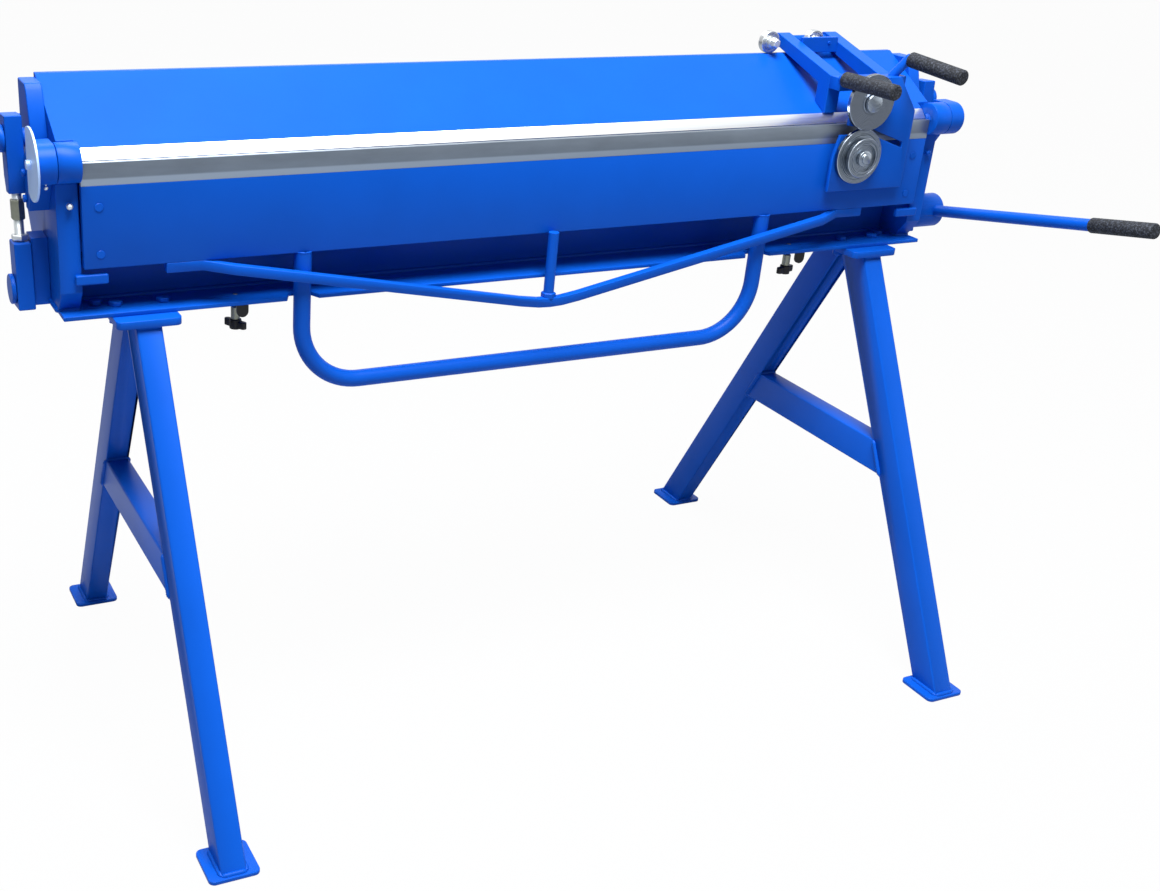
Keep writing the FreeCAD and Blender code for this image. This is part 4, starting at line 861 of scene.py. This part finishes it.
class FOLDER_OT_bolts(bpy.types.Operator):
    """Make the hexagon bolts, the bracket bolts, the beam screws and the grease nipples."""
    bl_idname = "folder.bolts"
    bl_label = "Bolts and Nipples"

    def execute(self, context):
        sizes = context.scene.folder_sizes
        dressed("base_bolts", FINISHES["paint"], sizes.nut_chamfer, sharp=BOLT_ANGLE)
        dressed("bracket_bolts", FINISHES["paint"], sizes.nut_chamfer, sharp=BOLT_ANGLE)
        self.nipples()
        self.screws()
        return {"FINISHED"}

    def nipples(self):
        left, right = bmesh.new(), bmesh.new()
        for bm, points in zip((left, right), islands("grease_nipples")):
            low, high = span(points)
            radius = (high.x - low.x) / 2
            centre = Vector(((low.x + high.x) / 2, low.y + radius, (low.z + high.z) / 2))
            rod(bm, Vector((centre.x, high.y, centre.z)), centre, NIPPLE_NECK_R)
            ball(bm, centre, radius, 24)
        pin, bracket = span_centre("hinge_pins"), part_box("hinge_brackets")[0]
        down = Vector((0, -math.sin(SMALL_NIPPLE_LEAN), -math.cos(SMALL_NIPPLE_LEAN)))
        root = Vector((bracket.x + BRACKET_THICK / 2, pin.y, pin.z)) + down * SMALL_NIPPLE_ROOT
        tip = root + down * SMALL_NIPPLE_HIGH
        rod(left, root, tip, SMALL_NIPPLE_NECK_R)
        ball(left, tip, SMALL_NIPPLE_R, 24)
        piece("grease_nipples.finish", left, FINISHES["bright"], "base", ["grease_nipples"])
        piece("grease_nipple_right", right, FINISHES["paint"], "base")

    def screws(self):
        bm = bmesh.new()
        for points in islands("beam_screws"):
            low, high = span(points)
            seat = Vector(((low.x + high.x) / 2, high.y, (low.z + high.z) / 2))
            rod(bm, seat, seat - Y_AXIS * SCREW_HEAD_HIGH, (high.x - low.x) / 2, SCREW_HEAD_ROUND)
        piece("beam_screws.finish", bm, FINISHES["paint"], "folding_beam", ["beam_screws"])


# Protractor: a disc with its back cut off along a chord, and a screw at its centre
DISC_GAP = 0.5 * MM
DISC_R = 47.0 * MM
DISC_CHORD = 23.0 * MM
DISC_THICK = 3.0 * MM
DISC_SCREW_R = 6.0 * MM
DISC_SCREW_HIGH = 5.5 * MM


class FOLDER_OT_protractor(bpy.types.Operator):
    """Make the protractor disc and its screw."""
    bl_idname = "folder.protractor"
    bl_label = "Protractor"

    def execute(self, context):
        pin, inner = span_centre("hinge_pins"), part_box("hinge_brackets")[0].x - DISC_GAP
        outer = inner - DISC_THICK
        first = math.acos(DISC_CHORD / DISC_R)
        bm = bmesh.new()
        prism(bm, 0, arc(pin.y, pin.z, DISC_R, first, math.tau - 2 * first, 80), outer, inner)
        rod_across(bm, outer, outer - DISC_SCREW_HIGH, pin, DISC_SCREW_R)
        piece("protractor.finish", bm, FINISHES["disc"], "folding_beam", ["protractor"],
              context.scene.folder_sizes.fine_edge)
        return {"FINISHED"}


# Upper link, from above its pin down to its tapered foot
LINK_HALF = 16.86 * MM
LINK_TOP = 30.74 * MM
LINK_FOOT = 71.41 * MM
LINK_TAPER = 21.82 * MM
LINK_TIP_HALF = 8.43 * MM
LINK_BORE_R = 8.05 * MM

# Lower link, from above its strap bore to below it
STRAP_HALF = 17.85 * MM
STRAP_TOP = 69.42 * MM
STRAP_FOOT = 21.82 * MM
STRAP_BORE_R = 12.5 * MM

# Threads, turnbuckle and locknut, from the upper pin down
THREAD_R = 6.8 * MM
UPPER_THREAD_START = 70.42 * MM
UPPER_THREAD_LONG = 13.0 * MM
TURNBUCKLE_START = 79.34 * MM
TURNBUCKLE_LONG = 27.0 * MM
TURNBUCKLE_FLATS = 17.0 * MM
LOWER_THREAD_START = 102.15 * MM
LOWER_THREAD_LONG = 33.0 * MM
LOCKNUT_START = 126.05 * MM
LOCKNUT_HIGH = 8.0 * MM
LOCKNUT_FLATS = 20.0 * MM

# Cross shaft with its crank pins and washers
SHAFT_R = 9.0 * MM
CRANK_PIN_R = 10.0 * MM
CRANK_PIN_BACK = 1.8 * MM
CRANK_PIN_IN_HUB = 20.0 * MM
CRANK_PIN_IN_WASHER = 1.0 * MM
WASHER_R = 20.5 * MM
WASHER_THICK = 6.0 * MM
WASHER_ROUND = 1.0 * MM


def strap_centre():
    """The centre of the lower links' round bore, in the plane of the upper pins."""
    low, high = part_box("lower_link_left")
    half = (high.y - low.y) / 2
    return Vector((span_centre("link_pins").x, low.y + half, low.z + half))


def on_link(origin, outline):
    """Places in the frame of points given by their distance down the link and to its side."""
    down = (strap_centre() - span_centre("link_pins")).normalized()
    across = Vector((0, -down.z, down.y))
    places = [origin + down * along + across * aside for along, aside in outline]
    return [(place.y, place.z) for place in places]


class FOLDER_OT_links(bpy.types.Operator):
    """Finish the clamping links, their turnbuckles and locknuts, and the cross shaft."""
    bl_idname = "folder.links"
    bl_label = "Clamping Links"

    def execute(self, context):
        sizes = context.scene.folder_sizes
        for side in ("left", "right"):
            low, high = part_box("upper_link_" + side)
            self.blocks(side, low.x, high.x, sizes.block_edge)
            self.threads(side, (low.x + high.x) / 2, sizes)
        self.shaft()
        return {"FINISHED"}

    def blocks(self, side, start, end, edge):
        pin, strap = span_centre("link_pins"), strap_centre()
        shoulder = LINK_FOOT - LINK_TAPER
        outline = on_link(pin, [(-LINK_TOP, -LINK_HALF), (-LINK_TOP, LINK_HALF), (shoulder, LINK_HALF),
                                (LINK_FOOT, LINK_TIP_HALF), (LINK_FOOT, -LINK_TIP_HALF),
                                (shoulder, -LINK_HALF)])
        bm = bmesh.new()
        bored_plate(bm, outline, pin, LINK_BORE_R, start, end)
        node = "upper_link_" + side
        piece(node + ".finish", bm, FINISHES["paint"], "link_" + side, [node], edge)
        outline = on_link(strap, [(-STRAP_TOP, -STRAP_HALF), (-STRAP_TOP, STRAP_HALF),
                                  (STRAP_FOOT, STRAP_HALF), (STRAP_FOOT, -STRAP_HALF)])
        bm = bmesh.new()
        bored_plate(bm, outline, strap, STRAP_BORE_R, start, end)
        node = "lower_link_" + side
        piece(node + ".finish", bm, FINISHES["paint"], "link_" + side, [node], edge)

    def threads(self, side, x, sizes):
        pin = span_centre("link_pins")
        way = (strap_centre() - pin).normalized()
        pin.x = x
        bm = bmesh.new()
        thread(bm, pin + way * UPPER_THREAD_START, way, THREAD_R, UPPER_THREAD_LONG, sizes.thread_pitch)
        thread(bm, pin + way * LOWER_THREAD_START, way, THREAD_R, LOWER_THREAD_LONG, sizes.thread_pitch)
        piece("link_thread_" + side, bm, FINISHES["bright"], "link_" + side)
        bm = bmesh.new()
        hexagon(bm, pin + way * TURNBUCKLE_START, way, TURNBUCKLE_FLATS, TURNBUCKLE_LONG, sizes.nut_chamfer)
        node = "turnbuckle_" + side
        piece(node + ".finish", bm, FINISHES["zinc"], node, [node], sizes.fine_edge)
        bm = bmesh.new()
        hexagon(bm, pin + way * LOCKNUT_START, way, LOCKNUT_FLATS, LOCKNUT_HIGH, sizes.nut_chamfer)
        node = "link_locknut_" + side
        piece(node + ".finish", bm, FINISHES["bright"], "link_" + side, [node], sizes.fine_edge)

    def shaft(self):
        shaft, crank = span_centre("shaft_washers"), strap_centre() + Y_AXIS * CRANK_PIN_BACK
        washers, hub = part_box("shaft_washers"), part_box("lever_hub")
        left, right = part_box("lower_link_left")[1].x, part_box("lower_link_right")[0].x
        bm = bmesh.new()
        rod_across(bm, left, right, shaft, SHAFT_R)
        rod_across(bm, washers[0].x + CRANK_PIN_IN_WASHER, left, crank, CRANK_PIN_R)
        rod_across(bm, right, hub[0].x + CRANK_PIN_IN_HUB, crank, CRANK_PIN_R)
        piece("cross_shaft.finish", bm, FINISHES["ground"], "clamp_shaft", ["cross_shaft"])
        bm = bmesh.new()
        for x in (washers[0].x, washers[1].x - WASHER_THICK):
            rod_across(bm, x, x + WASHER_THICK, (shaft + crank) / 2, WASHER_R, WASHER_ROUND)
        piece("shaft_washers.finish", bm, FINISHES["paint"], "clamp_shaft", ["shaft_washers"])


# The lever's rod is this much thicker than the part's own
LEVER_ROD_GROWTH = 1.15


class FOLDER_OT_lever(bpy.types.Operator):
    """Finish the clamping lever with its hub, rod and foam grip."""
    bl_idname = "folder.lever"
    bl_label = "Clamping Lever"

    def execute(self, context):
        sizes = context.scene.folder_sizes
        dressed("lever_hub", FINISHES["paint"], sizes.plate_edge)
        bar, middle = merged("lever_rod"), span_centre("lever_rod")
        way = (span_centre("lever_grip") - middle).normalized()
        for vert in bar.verts:
            on_axis = middle + way * (vert.co - middle).dot(way)
            vert.co = on_axis + (vert.co - on_axis) * LEVER_ROD_GROWTH
        piece("lever_rod.finish", bar, FINISHES["paint"], "clamp_shaft", ["lever_rod"])
        dressed("lever_grip", FINISHES["foam"], sizes.block_edge)
        return {"FINISHED"}


# Studs of the hand screws, with a shoulder above the knob
STUD_R = 4.0 * MM
SHOULDER_R = 6.5 * MM
SHOULDER_HIGH = 19.0 * MM
SHOULDER_ROUND = 1.0 * MM


class FOLDER_OT_hand_screws(bpy.types.Operator):
    """Finish the hand screws under the flange."""
    bl_idname = "folder.hand_screws"
    bl_label = "Hand Screws"

    def execute(self, context):
        sizes = context.scene.folder_sizes
        for side in ("left", "right"):
            stud, knob = "hand_screw_%s_stud" % side, "hand_screw_%s_knob" % side
            foot = span_centre(stud)
            foot.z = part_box(stud)[0].z
            neck = Vector((foot.x, foot.y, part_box(knob)[1].z))
            bm = bmesh.new()
            rod(bm, neck, neck + Z_AXIS * SHOULDER_HIGH, SHOULDER_R, SHOULDER_ROUND)
            thread(bm, foot, Z_AXIS, STUD_R, FLANGE_BOX[1].z - foot.z, sizes.thread_pitch)
            piece(stud + ".finish", bm, FINISHES["zinc"], "hand_screw_" + side, [stud])
            dressed(knob, FINISHES["plastic"], sizes.plate_edge)
        return {"FINISHED"}


# Cutters, with each ring groove's outer and inner radius and its depth
CUTTER_R = 44.0 * MM
CUTTER_BORE_R = 8.05 * MM
CUTTER_THICK = 7.5 * MM
CUTTER_CHAMFER = 1.0 * MM
UPPER_GROOVE = (19.0 * MM, 16.4 * MM, 0.6 * MM)
FACE_GROOVE = (37.0 * MM, 34.0 * MM, 1.2 * MM)
HUB_R = 32.0 * MM
HUB_FRONT = 19.5 * MM
HUB_GROOVE = (27.0 * MM, 24.0 * MM, 1.2 * MM)
RECESS_R = 22.0 * MM
RECESS_FLOOR = 15.5 * MM
GROOVE_SLANT = 0.6 * MM

# How much the lathe rings of each turned piece stand out
SPINDLE_RINGS = 0.2
UPPER_CUTTER_RINGS = 0.12
# The lower cutter's strong rings are partly lathe marks and partly painted highlights
LOWER_CUTTER_RINGS = 0.5
WHEEL_RINGS = 0.3

# Truck wheels
WHEEL_R = 17.5 * MM
WHEEL_BORE_R = 4.05 * MM
WHEEL_THICK = 11.0 * MM
WHEEL_CHAMFER = 0.8 * MM
WHEEL_GROOVE = (13.6 * MM, 9.0 * MM, 0.8 * MM)


def rim(radius, thick, chamfer):
    """A wheel's section from its back face round its chamfered rim to its front face."""
    return [(radius - chamfer, 0), (radius, chamfer), (radius, thick - chamfer), (radius - chamfer, thick)]


def groove(front, outer, inner, depth):
    """A ring groove with slanted walls in a front face."""
    return [(outer, front), (outer - GROOVE_SLANT, front - depth), (inner + GROOVE_SLANT, front - depth),
            (inner, front)]


def upper_cutter_section():
    """A thin disc with one ring groove round its bore."""
    disc = rim(CUTTER_R, CUTTER_THICK, CUTTER_CHAMFER) + groove(CUTTER_THICK, *UPPER_GROOVE)
    return [(CUTTER_BORE_R, 0)] + disc + [(CUTTER_BORE_R, CUTTER_THICK)]


def lower_cutter_section():
    """A thin disc on a thick hub, with a groove in each and a recess for the spindle's head."""
    disc = rim(CUTTER_R, CUTTER_THICK, CUTTER_CHAMFER) + groove(CUTTER_THICK, *FACE_GROOVE)
    hub = [(HUB_R, CUTTER_THICK), (HUB_R, HUB_FRONT - CUTTER_CHAMFER), (HUB_R - CUTTER_CHAMFER, HUB_FRONT)]
    recess = [(RECESS_R, HUB_FRONT), (RECESS_R, RECESS_FLOOR), (CUTTER_BORE_R, RECESS_FLOOR)]
    return [(CUTTER_BORE_R, 0)] + disc + hub + groove(HUB_FRONT, *HUB_GROOVE) + recess


def truck_wheel_section():
    """A plain wheel with a wide ring groove in its face."""
    disc = rim(WHEEL_R, WHEEL_THICK, WHEEL_CHAMFER) + groove(WHEEL_THICK, *WHEEL_GROOVE)
    return [(WHEEL_BORE_R, 0)] + disc + [(WHEEL_BORE_R, WHEEL_THICK)]


# Side members: a front leg, a run along the skin and a hook over the truck bar
MEMBER_THICK = 24.0 * MM
MEMBER_LEG = 28.0 * MM
MEMBER_STEP = 15.0 * MM
HOOK_R = 11.5 * MM
HOOK_FIRST = math.radians(-125)
HOOK_SWEEP = math.radians(230)
REAR_PLATE_RISE = 3.0 * MM
REAR_SCREW_INSET = 18.0 * MM
REAR_SCREW_R = 3.0 * MM
REAR_SCREW_HIGH = 1.5 * MM
REAR_SCREW_ROUND = 0.6 * MM

# Truck bar and the axles of its wheels
TRUCK_BAR_R = 7.0 * MM
TRUCK_BAR_ROUND = 1.0 * MM
TRUCK_BAR_INSET = 8.0 * MM
AXLE_R = 4.0 * MM
AXLE_GAP = 0.5 * MM
COLLAR_R = 9.0 * MM
COLLAR_ROUND = 1.0 * MM
LEFT_COLLAR = 8.0 * MM
RIGHT_COLLAR = 4.0 * MM
AXLE_HEAD_FLATS = 13.0 * MM
AXLE_HEAD_HIGH = 8.0 * MM

# Grips: the left one on the crossbar, the right one raised on a stem, and neither quite level
GRIP_ROD_R = 7.5 * MM
GRIP_ROD_BACK = 2.0 * MM
GRIP_ROD_LONG = 100.0 * MM
GRIP_R = 12.0 * MM
GRIP_START = 5.0 * MM
GRIP_FINISH = 123.0 * MM
LEFT_GRIP_INSET = 3.5 * MM
LEFT_GRIP_DROP = 1.0 * MM
LEFT_GRIP_CLIMB = math.radians(0.8)
RIGHT_GRIP_INSET = 2.0 * MM
RIGHT_GRIP_RISE = 27.0 * MM
RIGHT_GRIP_CLIMB = math.radians(-3.7)
STEM_INSET = 20.0 * MM
STEM_BACK = 13.0 * MM
STEM_DROP = 3.0 * MM


class FOLDER_OT_carriage(bpy.types.Operator):
    """Finish the carriage's wheels, cutters, spindles, members, truck and grips."""
    bl_idname = "folder.carriage"
    bl_label = "Shear Carriage"

    def execute(self, context):
        sizes, colours = context.scene.folder_sizes, context.scene.folder_colours
        spindle = turned_finish("cutter_spindles", colours.turned, SPINDLE_RINGS)
        dressed("cutter_spindles", spindle, sizes.spindle_edge)
        self.wheel("upper_cutter", upper_cutter_section(), colours.hardened, UPPER_CUTTER_RINGS)
        self.wheel("lower_cutter", lower_cutter_section(), colours.turned, LOWER_CUTTER_RINGS)
        for node in ("truck_wheel_left", "truck_wheel_right"):
            self.wheel(node, truck_wheel_section(), colours.chrome, WHEEL_RINGS)
        self.members(sizes.plate_edge)
        self.rear_plate(sizes.plate_edge)
        self.truck(sizes.nut_chamfer)
        self.grips(sizes.grip_end)
        return {"FINISHED"}

    def wheel(self, node, section, rgb, contrast):
        centre = span_centre(node)
        finish = turned_finish(node, rgb, contrast)
        centre.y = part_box(node)[1].y
        bm = bmesh.new()
        turned(bm, centre, -Y_AXIS, section, WHEEL_STEPS)
        piece(node + ".finish", bm, finish, NODES[node]["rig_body"], [node])

    def members(self, edge):
        low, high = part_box("carriage_members")
        skin_front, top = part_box("upper_beam_top_plate")[0].y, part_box("carriage_crossbar")[1].z
        inner = low.y + MEMBER_LEG
        outline = [(low.y, top), (low.y, low.z), (skin_front, low.z),
                   (inner, low.z + max(0.0, inner - skin_front) * skin_rise()), (inner, top - MEMBER_STEP)]
        outline += arc(high.y - HOOK_R, high.z - HOOK_R, HOOK_R, HOOK_FIRST, HOOK_SWEEP, 24)
        bm = bmesh.new()
        for x in (low.x, high.x - MEMBER_THICK):
            prism(bm, 0, outline, x, x + MEMBER_THICK)
        piece("carriage_members.finish", bm, FINISHES["paint"], "carriage", ["carriage_members"], edge)

    def rear_plate(self, edge):
        low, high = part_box("carriage_rear_plate")
        bm = bmesh.new()
        block(bm, low, high + Z_AXIS * REAR_PLATE_RISE)
        piece("carriage_rear_plate.finish", bm, FINISHES["paint"], "carriage", ["carriage_rear_plate"], edge)
        seat = Vector((high.x - REAR_SCREW_INSET, low.y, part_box("carriage_members")[1].z - HOOK_R))
        bm = bmesh.new()
        rod(bm, seat, seat - Y_AXIS * REAR_SCREW_HIGH, REAR_SCREW_R, REAR_SCREW_ROUND)
        piece("rear_plate_screw", bm, FINISHES["paint"], "carriage")

    def truck(self, chamfer):
        low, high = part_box("truck_bar")
        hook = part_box("carriage_members")[1] - Vector((0, HOOK_R, HOOK_R))
        bm = bmesh.new()
        rod_across(bm, low.x + TRUCK_BAR_INSET, high.x, hook, TRUCK_BAR_R, TRUCK_BAR_ROUND)
        piece("truck_bar.finish", bm, FINISHES["paint"], "truck", ["truck_bar"])
        bm = bmesh.new()
        for node, collar, head in (("truck_wheel_left", LEFT_COLLAR, AXLE_HEAD_HIGH),
                                   ("truck_wheel_right", RIGHT_COLLAR, 0.0)):
            back = Vector((span_centre(node).x, hook.y, hook.z))
            face = Vector((back.x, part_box(node)[0].y - AXLE_GAP, hook.z))
            front = face - Y_AXIS * collar
            rod(bm, front, back, AXLE_R)
            rod(bm, front, face, COLLAR_R, COLLAR_ROUND)
            if head:
                hexagon(bm, front, -Y_AXIS, AXLE_HEAD_FLATS, head, chamfer)
        piece("wheel_axles", bm, FINISHES["bright"], "truck")

    def grips(self, round_end):
        low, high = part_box("carriage_crossbar")
        left = Vector((low.x + LEFT_GRIP_INSET, low.y, high.z - LEFT_GRIP_DROP))
        right = Vector((high.x - RIGHT_GRIP_INSET, low.y, high.z + RIGHT_GRIP_RISE))
        stem = Vector((high.x - STEM_INSET, low.y + STEM_BACK, high.z - STEM_DROP))
        rods, foam = bmesh.new(), bmesh.new()
        for start, climb in ((left, LEFT_GRIP_CLIMB), (right, RIGHT_GRIP_CLIMB)):
            way = Vector((0, -math.cos(climb), math.sin(climb)))
            rod(rods, start - way * GRIP_ROD_BACK, start + way * GRIP_ROD_LONG, GRIP_ROD_R)
            rod(foam, start + way * GRIP_START, start + way * GRIP_FINISH, GRIP_R, round_end)
        rod(rods, stem, right, GRIP_ROD_R)
        ball(rods, right, GRIP_ROD_R, 32)
        piece("grip_rods.finish", rods, FINISHES["paint"], "carriage", ["grip_rods"])
        piece("carriage_grips.finish", foam, FINISHES["foam"], "carriage", ["carriage_grips"])


# Two faces of a weld that meet at less than this angle, in degrees, are shaded as one
WELD_ANGLE = 70


class FOLDER_OT_welds(bpy.types.Operator):
    """Lay the fillet welds of the trestles, the base and the pull handle."""
    bl_idname = "folder.welds"
    bl_label = "Welds"

    def execute(self, context):
        sizes = context.scene.folder_sizes
        self.trestles(sizes.weld_leg, sizes.weld_pitch)
        self.base(sizes.weld_leg, sizes.weld_pitch)
        self.handle(sizes.handle_weld, sizes.weld_pitch)
        return {"FINISHED"}

    def trestles(self, leg, pitch):
        bm = bmesh.new()
        for trestle in islands("trestle_legs"):
            low, high = span(trestle)
            for side in (-1, 1):
                foot = level([p for p in trestle if p.y * side > MERGE_GAP], low.z)
                bead_round(bm, flat_corners(*foot, low.z), leg, pitch)
            bead_round(bm, flat_corners(*level(trestle, high.z), high.z), leg, pitch)
        for points in islands("trestle_crossbars"):
            low, high = span(points)
            above, below = level(points, high.z), level(points, low.z)
            for end in (0, 1):
                top, foot = above[end].y, below[end].y
                bead(bm, Vector((low.x, foot, low.z)), Vector((high.x, foot, low.z)), leg, pitch)
                bead(bm, Vector((low.x, top, high.z)), Vector((high.x, top, high.z)), leg, pitch)
                for x in (low.x, high.x):
                    bead(bm, Vector((x, foot, low.z)), Vector((x, top, high.z)), leg, pitch)
        piece("trestle_welds", bm, FINISHES["paint"], "base", sharp=WELD_ANGLE)

    def base(self, leg, pitch):
        bm = bmesh.new()
        flange_top = FLANGE_BOX[1].z
        for points in islands("end_plates"):
            bead_round(bm, flat_corners(*level(points, flange_top), flange_top), leg, pitch)
        bed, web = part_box("bed_bar"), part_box("base_web")
        bead(bm, Vector((bed[0].x, web[0].y, web[0].z)), Vector((bed[1].x, web[0].y, web[0].z)), leg, pitch)
        piece("base_welds", bm, FINISHES["paint"], "base", sharp=WELD_ANGLE)

    def handle(self, leg, pitch):
        low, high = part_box("pull_handle")
        radius = (high.y - low.y) / 2
        bm = bmesh.new()
        for x in (low.x + radius, high.x - radius):
            bead_ring(bm, Vector((x, low.y + radius, high.z)), Z_AXIS, radius, leg, pitch)
        piece("handle_welds", bm, FINISHES["paint"], "folding_beam", sharp=WELD_ANGLE)


# The photograph's camera, and soft light from above and from both sides
CAMERA_PLACE = Vector((-1.1283, -1.8942, 1.3343))
CAMERA_TURNS = (math.radians(26.018), math.radians(-25.485), math.radians(3.243))
CAMERA_LENS = 45.49
CAMERA_SHIFT = (0.1396, 0.0323)
CAMERA_SENSOR = 36.0
CAMERA_REACH = 60.0
SKY_LIGHT = 0.18
FLOOR_GLOW = 0.97
FLOOR_HALF = 12.0


def aim(yaw, pitch, roll):
    """The camera's turn for a heading from +Y, a climb and a roll."""
    ahead = Vector((math.sin(yaw) * math.cos(pitch), math.cos(yaw) * math.cos(pitch), math.sin(pitch)))
    right = Vector((math.cos(yaw), -math.sin(yaw), 0))
    up = right.cross(ahead)
    rolled = math.cos(roll) * right + math.sin(roll) * up
    above = -math.sin(roll) * right + math.cos(roll) * up
    return Matrix((rolled, above, -ahead)).transposed()


def lamp(name, place, target, wide, power):
    """Adds a round lamp that points at a target."""
    light = bpy.data.lights.new(name, "AREA")
    light.shape = "DISK"
    light.size = wide
    light.energy = power
    obj = bpy.data.objects.new(name, light)
    obj.location = place
    obj.rotation_mode = "QUATERNION"
    obj.rotation_quaternion = (Vector(target) - Vector(place)).to_track_quat("-Z", "Y")
    bpy.context.scene.collection.objects.link(obj)


class FOLDER_OT_stage(bpy.types.Operator):
    """Set up the floor, the light and the camera."""
    bl_idname = "folder.stage"
    bl_label = "Stage"

    def execute(self, context):
        self.floor(context)
        self.sky(context)
        lamp("key", place=(-0.5, -0.9, 4.0), target=(0, 0, 0.7), wide=2.4, power=305)
        lamp("fill", place=(2.6, -2.4, 1.8), target=(0, 0, 0.6), wide=2.0, power=6)
        lamp("back", place=(0.4, 2.6, 3.2), target=(0, 0, 0.8), wide=2.0, power=30)
        self.camera(context)
        context.scene.view_settings.view_transform = "Standard"
        return {"FINISHED"}

    def floor(self, context):
        bm = bmesh.new()
        bmesh.ops.create_grid(bm, x_segments=1, y_segments=1, size=FLOOR_HALF)
        mesh = bpy.data.meshes.new("floor")
        bm.to_mesh(mesh)
        bm.free()
        floor = bpy.data.objects.new("floor", mesh)
        mesh.materials.append(floor_finish(context.scene.folder_colours.floor))
        context.scene.collection.objects.link(floor)

    def sky(self, context):
        """A white sky for the camera and for gloss, and a low even light on everything else."""
        world = bpy.data.worlds.new("studio")
        world.use_nodes = True
        tree = world.node_tree
        sky = tree.nodes["Background"]
        sky.inputs["Color"].default_value = (1.0, 1.0, 1.0, 1.0)
        rays = add(tree, "LightPath", {}, {})
        direct = add(tree, "Math", {"operation": "MAXIMUM"},
                     {0: (rays, "Is Camera Ray"), 1: (rays, "Is Glossy Ray")})
        strength = add(tree, "MapRange", {"To Min": SKY_LIGHT, "To Max": 1.0}, {"Value": (direct, "Value")})
        tree.links.new(strength.outputs["Result"], sky.inputs["Strength"])
        context.scene.world = world

    def camera(self, context):
        camera = bpy.data.cameras.new("camera")
        camera.lens = CAMERA_LENS
        camera.sensor_width = CAMERA_SENSOR
        camera.shift_x, camera.shift_y = CAMERA_SHIFT
        camera.clip_end = CAMERA_REACH
        view = bpy.data.objects.new("camera", camera)
        view.matrix_world = Matrix.Translation(CAMERA_PLACE) @ aim(*CAMERA_TURNS).to_4x4()
        context.scene.collection.objects.link(view)
        context.scene.camera = view


STEPS = (FOLDER_OT_steelwork, FOLDER_OT_base, FOLDER_OT_upper_beam, FOLDER_OT_handle, FOLDER_OT_blade,
         FOLDER_OT_bolts, FOLDER_OT_protractor, FOLDER_OT_links, FOLDER_OT_lever, FOLDER_OT_hand_screws,
         FOLDER_OT_carriage, FOLDER_OT_welds, FOLDER_OT_stage)


class FOLDER_PT_panel(bpy.types.Panel):
    """Sidebar panel with the machine's build steps."""
    bl_label = "Sheet Metal Folder"
    bl_idname = "FOLDER_PT_panel"
    bl_space_type = "VIEW_3D"
    bl_region_type = "UI"
    bl_category = "Sheet Folder"

    def draw(self, context):
        for step in STEPS:
            self.layout.operator(step.bl_idname)


CLASSES = (FolderSizes, FolderColours) + STEPS + (FOLDER_PT_panel,)


def register():
    for cls in CLASSES:
        bpy.utils.register_class(cls)
    bpy.types.Scene.folder_sizes = bpy.props.PointerProperty(type=FolderSizes)
    bpy.types.Scene.folder_colours = bpy.props.PointerProperty(type=FolderColours)


def unregister():
    del bpy.types.Scene.folder_colours
    del bpy.types.Scene.folder_sizes
    for cls in reversed(CLASSES):
        bpy.utils.unregister_class(cls)


def main():
    register()
    bpy.ops.folder.steelwork()
    bpy.ops.folder.base()
    bpy.ops.folder.upper_beam()
    bpy.ops.folder.handle()
    bpy.ops.folder.blade()
    bpy.ops.folder.bolts()
    bpy.ops.folder.protractor()
    bpy.ops.folder.links()
    bpy.ops.folder.lever()
    bpy.ops.folder.hand_screws()
    bpy.ops.folder.carriage()
    bpy.ops.folder.welds()
    bpy.ops.folder.stage()


if __name__ == "__main__":
    main()
